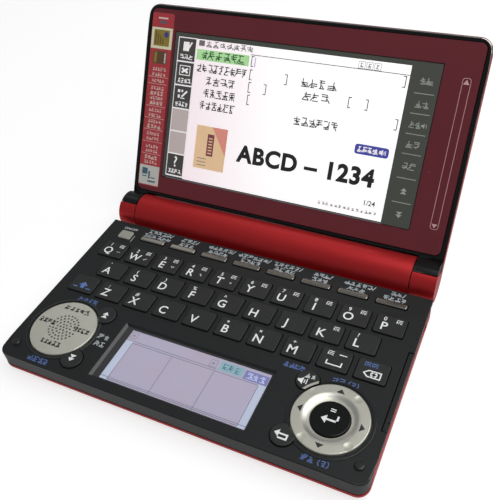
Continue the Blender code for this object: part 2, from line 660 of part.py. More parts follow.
def deck_cover():
    """Black deck with a skirt, holes for every key, the pen opening and the stylus channel."""
    deep = FRONT_BAND - GAP
    bm = block_mesh((-DECK_HALF, 0, -deep), (DECK_HALF, DECK_LENGTH, 0))
    bevel(bm, upright_edges(bm, lambda x, y: y < CONTROL_DEPTH), SHELL_CORNER - DECK_INSET, CORNER_STEPS)
    bevel(bm, edges_at_height(bm, 0, lambda x, y: y < DECK_LENGTH - GAP), DECK_EDGE, 1)
    cover = thing("deck_cover", bm, deck)
    cut(cover, block("deck_hollow", (DECK_SKIRT - DECK_HALF, DECK_SKIRT, -deep - OVERRUN),
                     (DECK_HALF - DECK_SKIRT, DECK_LENGTH + OVERRUN, -DECK_THICKNESS), deck))
    cut(cover, band_profile("deck_over_band", -GAP, deck))

    start, end = channel_ends()
    inner = DECK_HALF - STYLUS_WIDTH - GAP
    floor = -(SIDE_BAND + CHANNEL_WALL)
    add(cover, block("channel_block", (inner - CHANNEL_WALL, start - CHANNEL_WALL, floor),
                     (INNER_HALF - GAP, end + CHANNEL_WALL, -DECK_THICKNESS / 2), deck))
    for x in (PAD_X, RING_X):
        outer = ROCKER_RADIUS + GAP + LIP_GROOVE + LIP_WIDTH
        add(cover, disc(f"lip_{'ring' if x > 0 else 'pad'}", outer, BARREL_STEPS, (x, CONTROL_MIDDLE),
                        -DECK_THICKNESS / 2, LIP_HEIGHT, deck))

    bm = bmesh.new()
    for name, (x, y), (width, depth) in key_places():
        half = (width / 2 + GAP, depth / 2 + GAP)
        hole = block_mesh((x - half[0], y - half[1], -DECK_THICKNESS - OVERRUN),
                          (x + half[0], y + half[1], OVERRUN))
        bevel(hole, upright_edges(hole), key_corner(depth), 1)
        mesh = bpy.data.meshes.new("hole")
        hole.to_mesh(mesh)
        hole.free()
        bm.from_mesh(mesh)
    cut(cover, thing("key_holes", bm, deck))
    for name, centre, _ in satellite_places():
        cut(cover, disc(f"{name}_hole", SATELLITE_RADIUS + GAP, SMALL_STEPS, centre,
                        -DECK_THICKNESS - OVERRUN, OVERRUN, deck))
    for x, what in ((PAD_X, "pad"), (RING_X, "ring")):
        cut(cover, disc(f"{what}_hole", ROCKER_RADIUS + GAP, BARREL_STEPS, (x, CONTROL_MIDDLE),
                        -DECK_THICKNESS - OVERRUN, OVERRUN, deck))
    low, high = pen_opening()
    cut(cover, block("pen_hole", (*low, -DECK_THICKNESS - OVERRUN), (*high, OVERRUN), deck))
    cut(cover, block("stylus_channel", (inner, start, -SIDE_BAND), (DECK_HALF + OVERRUN, end, OVERRUN), deck))
    for i, side in enumerate((-1, 1)):
        add(cover, bumper(f"bumper_{i}", side))
    return finish(cover, black_plastic)


def bumper(name, side):
    """Small dome at a front corner, on which the shut lid comes to rest."""
    height = CLOSED_GAP - GAP
    obj = disc(name, BUMPER_RADIUS, SMALL_STEPS // 2, (side * (DECK_HALF - BUMPER_INSET), BUMPER_FROM_FRONT),
               -DECK_THICKNESS / 2, height, deck)
    bm = bmesh.new()
    bm.from_mesh(obj.data)
    bevel(bm, edges_at_height(bm, height), height * BUMPER_ROUND_SHARE, EDGE_STEPS)
    bm.to_mesh(obj.data)
    bm.free()
    return obj


def stylus():
    """Flat stylus in the right edge of the deck, with a nail nick at its front end."""
    top, bottom = -STYLUS_TOP_STEP, GAP - SIDE_BAND
    inner = DECK_HALF - STYLUS_WIDTH
    end = STYLUS_FROM_FRONT + STYLUS_LENGTH
    obj = block("stylus", (inner, STYLUS_FROM_FRONT, bottom), (DECK_HALF, end, top), deck)
    cut(obj, block("nail_nick", (DECK_HALF - STYLUS_WIDTH / 2, STYLUS_FROM_FRONT + STYLUS_NAIL_DEPTH,
                                 top - STYLUS_NAIL_DEPTH),
                   (DECK_HALF + OVERRUN, STYLUS_FROM_FRONT + STYLUS_NAIL, OVERRUN), deck))
    return finish(obj, black_plastic, smooth=False)


def pen_display():
    """Touch display beside the keys, sunk in its opening and seated on the circuit board."""
    low, high = pen_opening()
    return finish(block("pen_display", (low[0] + GAP, low[1] + GAP, BOARD_TOP + GAP),
                        (high[0] - GAP, high[1] - GAP, -PEN_SINK), deck), display_glass, smooth=False)


def board_outline(name, low, high):
    across = INNER_HALF - BOARD_MARGIN
    back = DECK_LENGTH - SIDE_WALL - BOARD_MARGIN
    return block(name, (-across, INNER_FRONT + BOARD_MARGIN, low), (across, back, high), deck,
                 SHELL_CORNER - SIDE_WALL, EDGE_STEPS)


def circuit_board():
    board = board_outline("circuit_board", BOARD_BOTTOM, BOARD_TOP)
    cut(board, disc("board_speaker_hole", SPEAKER_RADIUS + GAP, SMALL_STEPS, (PAD_X, CONTROL_MIDDLE),
                    BOARD_BOTTOM - OVERRUN, BOARD_TOP + OVERRUN, deck))
    return finish(board, board_green)


def keypad_mat():
    """Rubber contact mat under the keys, open for the pen display and the speaker."""
    low, high = pen_opening()
    under, over = MAT_TOP - MAT_THICKNESS, MAT_TOP
    mat = board_outline("keypad_mat", under, over)
    cut(mat, block("mat_pen_hole", (low[0] - GAP, low[1] - GAP, under - OVERRUN),
                   (high[0] + GAP, high[1] + GAP, over + OVERRUN), deck))
    cut(mat, disc("mat_speaker_hole", SPEAKER_RADIUS + GAP, SMALL_STEPS, (PAD_X, CONTROL_MIDDLE),
                  under - OVERRUN, over + OVERRUN, deck))
    return finish(mat, grey_rubber)


def speaker_driver():
    """Round speaker that stands on the floor of the case under the grille."""
    driver = disc("speaker_driver", SPEAKER_RADIUS, SMALL_STEPS, (PAD_X, CONTROL_MIDDLE),
                  FLOOR_TOP + GAP, MAT_TOP, deck)
    return finish(driver, steel)


def lid_back_shell():
    """Red back of the lid, with two hinge knuckles and the pin that turns in the barrel's left end."""
    bm = block_mesh((-LID_HALF, 0, LID_BACK), (LID_HALF, LID_LENGTH, FACE - LID_RIM_STEP))
    bevel(bm, upright_edges(bm, lambda x, y: y > BARREL_RADIUS), LID_CORNER, CORNER_STEPS)
    bevel(bm, edges_at_height(bm, LID_BACK, lambda x, y: y > GAP), LID_EDGE, LID_EDGE_STEPS)
    shell = thing("lid_back_shell", bm, hinge)
    left, right = BARREL_LEFT - HINGE_GAP, BARREL_RIGHT + HINGE_GAP
    add(shell, drum("left_knuckle", BARREL_RADIUS, BARREL_STEPS, -LID_HALF, left, hinge))
    add(shell, drum("right_knuckle", BARREL_RADIUS, BARREL_STEPS, right, LID_HALF, hinge))
    rim = LID_HALF - LID_RIM_WALL
    bm = block_mesh((-rim, KNUCKLE_SEAM, FRAME_BACK - GAP),
                    (rim, LID_LENGTH - LID_RIM_WALL, BARREL_RADIUS + OVERRUN))
    inner_corner = LID_CORNER - LID_RIM_WALL
    bevel(bm, upright_edges(bm, lambda x, y: y > BARREL_RADIUS), inner_corner, CORNER_STEPS)
    cut(shell, thing("lid_cavity", bm, hinge))
    cut(shell, drum("barrel_room", BARREL_RADIUS + HINGE_GAP, BARREL_STEPS, left, right, hinge))
    cut(shell, drum("shaft_bore", SHAFT_RADIUS + GAP, SMALL_STEPS // 2, BARREL_RIGHT,
                    BARREL_RIGHT + HINGE_GAP + SHAFT_INTO_KNUCKLE + GAP, hinge))
    add(shell, drum("lid_pin", PIN_RADIUS, SMALL_STEPS, left - OVERRUN, BARREL_LEFT + PIN_LENGTH, hinge))
    return finish(shell, red_shell)


def lid_inner_frame():
    """Black frame that fills the shell, with pockets for the display and its bezel."""
    rim = LID_HALF - LID_RIM_WALL - GAP
    front = KNUCKLE_SEAM + GAP
    bm = block_mesh((-rim, 0, FRAME_BACK), (rim, LID_LENGTH - LID_RIM_WALL - GAP, FACE))
    bevel(bm, upright_edges(bm, lambda x, y: y > BARREL_RADIUS), LID_CORNER - LID_RIM_WALL, CORNER_STEPS)
    frame = thing("lid_inner_frame", bm, hinge)
    left, right = BARREL_LEFT - HINGE_GAP - GAP, BARREL_RIGHT + HINGE_GAP + GAP
    add(frame, drum("left_knuckle_front", BARREL_RADIUS, BARREL_STEPS, -rim, left, hinge))
    add(frame, drum("right_knuckle_front", BARREL_RADIUS, BARREL_STEPS, right, rim, hinge))
    deep = BARREL_RADIUS + OVERRUN
    cut(frame, block("knuckle_red_side", (-LID_HALF, -deep, -deep), (LID_HALF, front, deep), hinge))
    cut(frame, block("knuckle_back_side", (-LID_HALF, -deep, -deep), (LID_HALF, deep, FRAME_BACK), hinge))
    cut(frame, drum("frame_barrel_room", BARREL_RADIUS + HINGE_GAP + GAP, BARREL_STEPS, left, right, hinge))
    low, high = bezel_outline()
    cut(frame, block("bezel_pocket", (low[0] - GAP, low[1] - GAP, BEZEL_BOTTOM - GAP),
                     (high[0] + GAP, high[1] + GAP, FACE + OVERRUN), hinge, BEZEL_CORNER, EDGE_STEPS))
    low, high = display_outline()
    cut(frame, block("display_pocket", (low[0] - GAP, low[1] - GAP, DISPLAY_BOTTOM - GAP),
                     (high[0] + GAP, high[1] + GAP, FACE + OVERRUN), hinge))
    return finish(frame, black_plastic)


def bezel_outline():
    across = LID_HALF - BEZEL_SIDE_MARGIN
    return (-across, BEZEL_FOOT), (across, LID_LENGTH - BEZEL_TOP_MARGIN)


def window_outline():
    low, high = bezel_outline()
    return (low[0] + WINDOW_LEFT, low[1] + WINDOW_FOOT), (high[0] - WINDOW_RIGHT, high[1] - WINDOW_TOP)


def display_outline():
    low, high = window_outline()
    return ((low[0] - DISPLAY_OVERLAP, low[1] - DISPLAY_OVERLAP),
            (high[0] + DISPLAY_OVERLAP, high[1] + DISPLAY_OVERLAP))


def display_bezel():
    """Wine-red acrylic plate round the display's window."""
    low, high = bezel_outline()
    plate = block("display_bezel", (*low, BEZEL_BOTTOM), (*high, BEZEL_TOP), hinge,
                  BEZEL_CORNER, CORNER_STEPS)
    low, high = window_outline()
    cut(plate, block("window", (*low, BEZEL_BOTTOM - OVERRUN), (*high, BEZEL_TOP + OVERRUN), hinge))
    return finish(plate, wine_acrylic)


def main_display():
    """Display module, with a raised glass that fills the bezel's window."""
    low, high = display_outline()
    module = block("main_display", (*low, DISPLAY_BOTTOM), (*high, DISPLAY_TOP), hinge)
    low, high = window_outline()
    add(module, block("display_glass", (low[0] + GAP, low[1] + GAP, DISPLAY_BOTTOM + FRAME_FLOOR),
                      (high[0] - GAP, high[1] - GAP, BEZEL_TOP - BEZEL_SINK), hinge))
    return finish(module, display_glass, smooth=False)


lower_case()
battery_cover()
cell("battery_left", BARREL_MIDDLE - BORE_LENGTH / 2 + GAP)
cell("battery_right", BARREL_MIDDLE + GAP / 2)
friction_hinge()
circuit_board()
keypad_mat()
speaker_driver()
pen_display()
deck_cover()
stylus()
rectangular_keys()
speaker_pad()
direction_ring()
enter_key()
for key_name, key_centre, rocker in satellite_places():
    satellite_key(key_name, key_centre, rocker)
lid_back_shell()
lid_inner_frame()
display_bezel()
main_display()
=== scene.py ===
"""Finish of a folding electronic dictionary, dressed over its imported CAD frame. Sizes are in metres."""
import json
import math
import random

import bmesh
import bpy
from mathutils import Matrix, Vector


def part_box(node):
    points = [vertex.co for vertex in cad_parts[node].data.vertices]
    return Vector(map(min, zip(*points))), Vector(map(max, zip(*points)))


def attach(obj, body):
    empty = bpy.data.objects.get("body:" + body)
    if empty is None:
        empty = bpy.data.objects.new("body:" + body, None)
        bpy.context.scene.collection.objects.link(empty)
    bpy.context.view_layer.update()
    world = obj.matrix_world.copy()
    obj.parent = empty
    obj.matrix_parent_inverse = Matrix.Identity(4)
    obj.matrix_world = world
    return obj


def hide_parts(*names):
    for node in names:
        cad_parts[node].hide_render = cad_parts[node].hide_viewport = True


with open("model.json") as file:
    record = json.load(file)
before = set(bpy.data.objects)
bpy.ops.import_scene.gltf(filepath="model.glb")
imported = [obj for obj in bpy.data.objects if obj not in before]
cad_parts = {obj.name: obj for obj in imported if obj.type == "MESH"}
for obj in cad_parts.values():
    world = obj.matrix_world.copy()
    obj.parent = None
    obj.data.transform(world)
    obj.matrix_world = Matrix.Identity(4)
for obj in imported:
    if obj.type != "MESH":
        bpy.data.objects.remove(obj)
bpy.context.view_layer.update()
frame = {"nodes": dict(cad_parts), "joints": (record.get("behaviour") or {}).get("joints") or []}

# Lower case
# The tub under the keys and the round housing of the cells behind it are one injection moulding in ABS.
# It is painted red and lacquered, and the deck, the boards and the lid's hinges are all fixed to it.
mm = 0.001
gap = 0.3 * mm
hinge_gap = 0.4 * mm
past = 2 * mm                      # how far a cutting shape runs past what it cuts
joints = {joint["name"]: joint for joint in frame["joints"]}
hinge = Vector(joints["lid_hinge"]["pos_m"])
ring_middle = Vector(joints["direction_ring_tilt"]["pos_m"])
pad_middle = Vector(joints["speaker_pad_tilt"]["pos_m"])
deck_low, deck_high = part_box("deck_cover")
face = ring_middle.z               # height of the deck's top face
front, back = deck_low.y, deck_high.y
half_deck = deck_high.x
deck_inset = 0.8 * mm
red_lip = 0.15 * mm                # how far the red stands out past the deck's dark edge
half_case = half_deck + deck_inset
foot_height = 0.6 * mm
case_corner, case_rear_corner = 4.6 * mm, 3.4 * mm
case_edge = 3.2 * mm
side_wall, floor_thickness = 1.6 * mm, 1.5 * mm
side_band, front_band = 2.5 * mm, 6.4 * mm    # dark deck edge that shows over the red
band_slope = (1.0 * mm, 7.5 * mm)             # where the parting line climbs from one to the other
barrel_radius, cell_room = 8.2 * mm, 7.4 * mm
barrel_end = 12.8 * mm                        # solid ends of the housing, which hold the hinges
hinge_bore, hinge_bore_depth = 5.3 * mm, 11.0 * mm
pin_bore, pin_bore_depth = 3.1 * mm, 5.9 * mm
hump_round, hump_inset = 3.4 * mm, 1.2 * mm
cover_seat, cover_drop = 1.0 * mm, 2.6 * mm
notch_back, notch_width, notch_depth = 13.6 * mm, 3.8 * mm, 1.0 * mm
cells_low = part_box("battery_left")[0].x - gap
cells_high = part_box("battery_right")[1].x + gap
barrel_left, barrel_right = cells_low - barrel_end, cells_high + barrel_end


def calm():
    """Leaves edit mode with nothing selected, so that an operator meets only what is picked next."""
    if bpy.context.mode != "OBJECT":
        bpy.ops.object.mode_set(mode="OBJECT")
    bpy.ops.object.select_all(action="DESELECT")


def take(obj):
    """Makes one object the selected and active one."""
    calm()
    obj.select_set(True)
    bpy.context.view_layer.objects.active = obj
    return obj


def settle(obj):
    """Moves the object's place into its mesh."""
    take(obj)
    bpy.ops.object.transform_apply(location=True, rotation=True, scale=True)
    return obj


def named(name):
    bpy.context.object.name = bpy.context.object.data.name = name
    return settle(bpy.context.object)


def slab(name, low, high):
    """A block between two corners."""
    low, high = Vector(low), Vector(high)
    calm()
    bpy.ops.mesh.primitive_cube_add(size=1, location=(low + high) / 2, scale=high - low)
    return named(name)


def rod(name, radius, start, end, steps=96):
    """A round bar between two points."""
    start, end = Vector(start), Vector(end)
    calm()
    bpy.ops.mesh.primitive_cylinder_add(vertices=steps, radius=radius, depth=(end - start).length,
                                        location=(start + end) / 2,
                                        rotation=(end - start).to_track_quat("Z", "Y").to_euler())
    return named(name)


def drawn(name, points, faces):
    """A flat outline drawn point by point, ready to be given a thickness."""
    mesh = bpy.data.meshes.new(name)
    mesh.from_pydata(points, [], faces)
    obj = bpy.data.objects.new(name, mesh)
    bpy.context.scene.collection.objects.link(obj)
    return take(obj)


def prism(name, outline, start, end):
    """An outline in Y and Z, drawn out along X."""
    obj = drawn(name, [(start, y, z) for y, z in outline], [range(len(outline))])
    bpy.ops.object.mode_set(mode="EDIT")
    bpy.ops.mesh.select_all(action="SELECT")
    bpy.ops.mesh.extrude_region_move(TRANSFORM_OT_translate={"value": (end - start, 0, 0)})
    bpy.ops.mesh.select_all(action="SELECT")
    bpy.ops.mesh.normals_make_consistent(inside=False)
    calm()
    return obj


def pick(obj, mode, test):
    """Opens a mesh with only those edges or faces selected that pass a test of their corners."""
    take(obj)
    bpy.ops.object.mode_set(mode="EDIT")
    bpy.ops.mesh.select_mode(type=mode)
    bpy.ops.mesh.select_all(action="DESELECT")
    form = bmesh.from_edit_mesh(obj.data)
    for part in (form.edges if mode == "EDGE" else form.faces):
        part.select_set(test([corner.co for corner in part.verts]))
    bmesh.update_edit_mesh(obj.data)


def round_off(obj, radius, steps, test):
    """Rounds the edges that pass a test of their ends."""
    pick(obj, "EDGE", test)
    bpy.ops.mesh.bevel(offset=radius, segments=steps, affect="EDGES")
    calm()
    return obj


def upright(keep=lambda place: True):
    """A test for edges along Z, at places that pass a test of their own."""
    return lambda ends: (ends[0] - ends[1]).xy.length < gap / 10 and keep(ends[0])


def level(height, keep=lambda place: True):
    """A test for edges that lie at one height."""
    return lambda ends: all(abs(end.z - height) < gap / 10 and keep(end) for end in ends)


def combine(obj, tool, how="UNION"):
    """Joins one solid with another, or trims it to the other, which is used up."""
    take(obj)
    step = obj.modifiers.new(how, "BOOLEAN")
    step.operation = how
    step.solver = "EXACT"
    step.object = tool
    bpy.ops.object.modifier_apply(modifier=step.name)
    bpy.data.objects.remove(tool, do_unlink=True)
    return obj


def cut(obj, tool):
    """Takes one solid out of another."""
    return combine(obj, tool, "DIFFERENCE")


def soften(obj, width, steps=2):
    """Takes the sharpness off every edge, and shades the curves smooth and the flats flat."""
    take(obj)
    sharp = math.radians(35)
    if width:
        edge = obj.modifiers.new("edge", "BEVEL")
        edge.width = width
        edge.segments = steps
        edge.limit_method = "ANGLE"
        edge.angle_limit = sharp
        bpy.ops.object.modifier_apply(modifier=edge.name)
    bpy.ops.object.shade_smooth_by_angle(angle=sharp)
    flats = obj.modifiers.new("flats", "WEIGHTED_NORMAL")
    flats.keep_sharp = True
    bpy.ops.object.modifier_apply(modifier=flats.name)
    return obj


def place_of(x, y, z=0):
    """A world place from one measured on the deck: across, back from its front edge, up from its face."""
    return Vector((x, front + y, face + z))


def over_band(name, lift):
    """The space above the line where the deck's dark edge meets the red, moved up by a clearance."""
    side, low = face - side_band + lift, face - front_band + lift
    outline = [(front - past, low), (front + band_slope[0], low), (front + band_slope[1], side),
               (hinge.y + past, side), (hinge.y + past, face + past), (front - past, face + past)]
    return prism(name, outline, -half_case - past, half_case + past)


def hump(name):
    """The block under the round housing, rounded at its lower back edge."""
    block = slab(name, (barrel_left, back - side_wall, foot_height),
                 (barrel_right, hinge.y - hump_inset, face - side_band))
    rear = hinge.y - hump_inset - gap
    return round_off(block, hump_round, 10, level(foot_height, lambda end: end.y > rear))


def cover_room(name, inset):
    """The battery cover's window, or the space of the cover itself when it is drawn in by the clearance."""
    low = (cells_low - cover_seat + inset, hinge.y - cell_room + inset, -past)
    high = (cells_high + cover_seat - inset, hinge.y + barrel_radius + past, hinge.z - cover_drop - inset)
    return slab(name, low, high)


def along(radius, start, end):
    """A bar on the hinge's own axis, from one place across to another."""
    return rod("along the hinge", radius, (start, hinge.y, hinge.z), (end, hinge.y, hinge.z))


case = slab("lower_case_shell", (-half_case, front - deck_inset, foot_height), (half_case, back, face))
round_off(case, case_corner, 10, upright(lambda end: end.y < ring_middle.y))
round_off(case, case_rear_corner, 8, upright(lambda end: end.y > back - gap))
round_off(case, case_edge, 8, level(foot_height))
cut(case, over_band("above the red", 0))
combine(case, hump("housing foot"))
combine(case, along(barrel_radius, barrel_left, barrel_right))
inside = slab("inside",
              (side_wall - half_case, front - deck_inset + side_wall, foot_height + floor_thickness),
              (half_case - side_wall, back - side_wall, face + past))
cut(case, round_off(inside, case_corner - side_wall, 6, upright()))
cut(case, along(cell_room, cells_low, cells_high))
cut(case, cover_room("cover window", 0))
cut(case, along(pin_bore, barrel_left - past, barrel_left + pin_bore_depth))
cut(case, along(hinge_bore, barrel_right - hinge_bore_depth, barrel_right + past))
notch = slab("strap notch", (half_case - notch_depth, back - notch_back, face / 2),
             (half_case + past, back - notch_back + notch_width, face + past))
cut(case, notch)


def colour(code):
    """An sRGB hex colour as Blender's linear one."""
    parts = [int(code[start:start + 2], 16) / 255 for start in (1, 3, 5)]
    return (*[part / 12.92 if part <= 0.04045 else ((part + 0.055) / 1.055) ** 2.4 for part in parts], 1)


def add_node(tree, kind, sockets, **settings):
    """Adds a node. A socket takes a value, or a link where it is given another node's output."""
    made = tree.nodes.new(kind)
    for name, value in settings.items():
        setattr(made, name, value)
    for name, value in sockets.items():
        if isinstance(value, bpy.types.NodeSocket):
            tree.links.new(value, made.inputs[name])
        else:
            made.inputs[name].default_value = value
    return made


def finish_named(name, sockets):
    """A new finish: its node tree and its shader, with the shader's sockets set."""
    made = bpy.data.materials.new(name)
    made.use_nodes = True
    shader = made.node_tree.nodes["Principled BSDF"]
    for socket, value in sockets.items():
        shader.inputs[socket].default_value = value
    return made, made.node_tree, shader


def grain(tree, shader, size, depth, dark, light, rough=None):
    """A moulded or sprayed surface: grains of a real size and depth, with a slight play of two colours."""
    where = add_node(tree, "ShaderNodeTexCoord", {}).outputs["Object"]
    grains = add_node(tree, "ShaderNodeTexNoise", {"Vector": where, "Scale": 1 / size, "Detail": 2.0})
    clouds = add_node(tree, "ShaderNodeTexNoise", {"Vector": where, "Scale": 1 / (40 * size)})
    tint = add_node(tree, "ShaderNodeMixRGB", {"Fac": clouds.outputs["Fac"], "Color1": colour(dark),
                                               "Color2": colour(light)})
    bump = add_node(tree, "ShaderNodeBump", {"Height": grains.outputs["Fac"], "Distance": depth})
    tree.links.new(tint.outputs["Color"], shader.inputs["Base Color"])
    tree.links.new(bump.outputs["Normal"], shader.inputs["Normal"])
    if rough:
        spread = add_node(tree, "ShaderNodeMapRange", {"Value": grains.outputs["Fac"], "To Min": rough[0],
                                                       "To Max": rough[1]})
        tree.links.new(spread.outputs["Result"], shader.inputs["Roughness"])
    return tint.outputs["Color"]


def grained(name, sockets, *surface):
    """A new finish with a grain: its size, its depth, its two colours and perhaps its roughness."""
    made, tree, shader = finish_named(name, sockets)
    grain(tree, shader, *surface)
    return made


def wear(obj, material):
    """Gives a piece its finish."""
    obj.data.materials.clear()
    obj.data.materials.append(material)
    return obj


def faced(obj, material, test):
    """Gives the faces whose middle passes a test a finish of their own."""
    obj.data.materials.append(material)
    for side in obj.data.polygons:
        if test(side.center):
            side.material_index = len(obj.data.materials) - 1
    return obj


# metallic red lacquer on ABS: fine flakes under a clear coat, so it glows where it faces the light and
# falls off to maroon beside it, with a faint orange peel
red_lacquer = grained("metallic red lacquer on ABS", {
    "Metallic": 0.62, "Roughness": 0.44, "IOR": 1.5, "Specular IOR Level": 0.2,
    "Specular Tint": colour("#8c2a2c"), "Coat Weight": 0.2, "Coat Roughness": 0.35, "Coat IOR": 1.5},
    0.9 * mm, 0.005 * mm, "#ac2427", "#b82d2f")
wear(soften(case, 0.15 * mm), red_lacquer)
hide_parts("lower_case")
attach(case, "base")

# Battery cover
# The lower half of the round housing is a loose cover in the same lacquered ABS. It clips on from below,
# and lets the two cells out. Three shallow grooves give a thumb its grip.
groove_width, groove_pitch, groove_length = 0.8 * mm, 2.0 * mm, 12.0 * mm
cover = cover_room("battery_cover_shell", gap)
skin = combine(along(barrel_radius, barrel_left, barrel_right), hump("cover foot"))
combine(cover, skin, "INTERSECT")
cut(cover, along(cell_room, barrel_left, barrel_right))
for turn in (-1, 0, 1):
    y = hinge.y - cell_room / 2 + turn * groove_pitch
    groove = slab("grip groove", (-groove_length / 2, y - groove_width / 2, 0),
                  (groove_length / 2, y + groove_width / 2, foot_height + gap))
    cut(cover, groove)
wear(soften(cover, 0.1 * mm), red_lacquer)
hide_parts("battery_cover")
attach(cover, "battery_cover")

# Foot pads and case screws
# Four small pads of black rubber are glued under the case, and five cross-head screws of blackened steel
# hold the case to the deck from below. Between them the floor has a shallow bare panel.
foot_side, foot_front, foot_rear = 16.5 * mm, 6.2 * mm, 6.0 * mm
foot_length, foot_depth, foot_corner = 9.0 * mm, 4.4 * mm, 1.4 * mm
screw_radius, screw_sink, slot_width = 1.7 * mm, 0.5 * mm, 0.5 * mm
panel_half, panel_front, panel_back, panel_sink = 26 * mm, 30 * mm, 58 * mm, 0.25 * mm
rubber = grained("moulded black rubber", {"Roughness": 0.85, "IOR": 1.52},
                 0.3 * mm, 0.02 * mm, "#202122", "#2a2b2c")
steel = grained("blackened steel", {"Metallic": 1.0, "Roughness": 0.35},
                0.2 * mm, 0.01 * mm, "#3c3d40", "#55565a")


def joined(name, pieces):
    """Several meshes made one."""
    take(pieces[0])
    for piece in pieces[1:]:
        piece.select_set(True)
    if len(pieces) > 1:
        bpy.ops.object.join()
    bpy.context.object.name = bpy.context.object.data.name = name
    return bpy.context.object


pads = []
foot_ys = (front + foot_front, hinge.y - hump_inset - foot_rear)
for x in (foot_side - half_case, half_case - foot_side):
    for y in foot_ys:
        pad = slab("foot", (x - foot_length / 2, y - foot_depth / 2, 0),
                   (x + foot_length / 2, y + foot_depth / 2, foot_height))
        round_off(pad, foot_corner, 6, upright())
        pads.append(round_off(pad, foot_height / 2, 3, level(0)))
pads = wear(soften(joined("foot_pads", pads), 0), rubber)
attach(pads, "base")

screws = []
screw_places = [(side * (half_case - foot_side), y + 3 * foot_corner) for side in (-1, 1)
                for y in (foot_ys[0], foot_ys[1] - 4 * foot_depth)] + [(0, foot_ys[0])]
for x, y in screw_places:
    cut(case, rod("screw hole", screw_radius + gap, (x, y, -past), (x, y, foot_height + screw_sink), 32))
    head = rod("screw", screw_radius, (x, y, foot_height + gap / 2), (x, y, foot_height + screw_sink), 32)
    for wide, deep in ((2 * slot_width, slot_width / 2), (slot_width / 2, 2 * slot_width)):
        cut(head, slab("slot", (x - wide, y - deep, 0), (x + wide, y + deep, foot_height + screw_sink * 0.7)))
    screws.append(head)
screws = wear(soften(joined("case_screws", screws), 0.08 * mm), steel)
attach(screws, "base")

panel = slab("panel", (-panel_half, front + panel_front, -past),
             (panel_half, front + panel_back, foot_height + panel_sink))
cut(case, round_off(panel, foot_corner, 6, upright()))

# Cells and inner parts
# Two AA cells with printed foil jackets lie in the housing; the friction hinge is turned steel. Under the
# keys lie a green fibreglass board, the silicone mat that springs them, and the speaker.
cell_length, foil_end = 50.8 * mm, 38 * mm
jacket, tree, shader = finish_named("printed foil jacket", {"Roughness": 0.3, "Metallic": 0.3})
where = add_node(tree, "ShaderNodeTexCoord", {}).outputs["Object"]
apart = add_node(tree, "ShaderNodeSeparateXYZ", {"Vector": where})
bands = add_node(tree, "ShaderNodeMath", {0: apart.outputs["X"], 1: cell_length}, operation="PINGPONG")
stripe = add_node(tree, "ShaderNodeMath", {0: bands.outputs[0], 1: foil_end}, operation="GREATER_THAN")
tint = add_node(tree, "ShaderNodeMixRGB", {"Fac": stripe.outputs[0], "Color1": colour("#24409a"),
                                           "Color2": colour("#c9ccd2")})
tree.links.new(tint.outputs["Color"], shader.inputs["Base Color"])
bright_steel = grained("turned steel", {"Metallic": 1.0, "Roughness": 0.28},
                       0.25 * mm, 0.008 * mm, "#a9aaad", "#c2c3c6")
board_laminate = grained("green fibreglass laminate", {"Roughness": 0.45, "IOR": 1.55},
                         0.5 * mm, 0.01 * mm, "#14502c", "#1d6338")
silicone = grained("grey silicone rubber", {"Roughness": 0.7, "IOR": 1.41},
                   0.6 * mm, 0.01 * mm, "#6a6c70", "#777a7e")
for node, material in {"battery_left": jacket, "battery_right": jacket, "friction_hinge": bright_steel,
                       "speaker_driver": bright_steel, "circuit_board": board_laminate,
                       "keypad_mat": silicone}.items():
    frame["nodes"][node].material_slots[0].material = material

# Deck cover
# The black top of the base is one ABS moulding with a spark-eroded grain. It has a hole for every key, a
# raised lip round each rocker, two bumpers for the shut lid, and the channel where the stylus clips in.
deck_thickness, deck_skirt, deck_edge = 1.5 * mm, 1.5 * mm, 0.6 * mm
flange_lip = 0.6 * mm
rocker_radius = 13.35 * mm
satellite_radius, satellite_across, satellite_up = 4.25 * mm, 12.41 * mm, 11.4 * mm
key_corner = 0.9 * mm
lip_height, lip_width, lip_groove = 0.3 * mm, 0.9 * mm, 0.6 * mm
bumper_radius, bumper_inset, bumper_front, bumper_height = 1.7 * mm, 3.9 * mm, 5.8 * mm, 0.9 * mm
channel_wall = 0.8 * mm
screen_depth = 0.95 * mm
slope_left, slope_right, slope_front, slope_back = 1.1 * mm, 0.5 * mm, 0.6 * mm, 0.7 * mm
stylus_low, stylus_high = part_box("stylus")
pen_low, pen_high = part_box("pen_display")
letter_keys = [node for node in frame["nodes"] if node.startswith("key_")]
menu_keys = sorted(node for node in frame["nodes"] if node.startswith("menu_key_"))


def key_window(node):
    """Middle and half size of a key's cap, across and back, without the flange that holds it in."""
    low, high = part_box(node)
    return (low + high) / 2, (high - low) / 2 - Vector((flange_lip, flange_lip, 0))


def widened(name, low, high, margin, foot, head):
    """A block over the outline between two corners, widened by a margin, from one height to another."""
    return slab(name, (low[0] - margin, low[1] - margin, foot), (high[0] + margin, high[1] + margin, head))


def puck(name, radius, middle, low, high, steps=96):
    """An upright round block."""
    return rod(name, radius, (middle.x, middle.y, low), (middle.x, middle.y, high), steps)


def satellites():
    """The four small round keys: node, middle, and the middle of the rocker that cuts into each."""
    for node, rocker, side in (("page_up_key", pad_middle, 1), ("page_down_key", pad_middle, 1),
                               ("voice_key", ring_middle, -1), ("exit_key", ring_middle, -1)):
        up = satellite_up if node in ("page_up_key", "voice_key") else -satellite_up
        yield node, rocker + Vector((side * satellite_across, up, 0)), rocker


def flared(name, low, high, wide_low, wide_high):
    """A block whose upper face is spread to two corners of its own."""
    block = slab(name, low, high)
    low, high = Vector(low), Vector(high)
    growth = [(wide_high[i] - wide_low[i]) / (high[i] - low[i]) for i in (0, 1)]
    still = [(wide_low[i] - growth[i] * low[i]) / (1 - growth[i]) for i in (0, 1)]
    pick(block, "FACE", lambda ends: all(end.z > high.z - gap / 10 for end in ends))
    bpy.ops.transform.resize(value=(*growth, 1), center_override=(*still, high.z))
    calm()
    return block


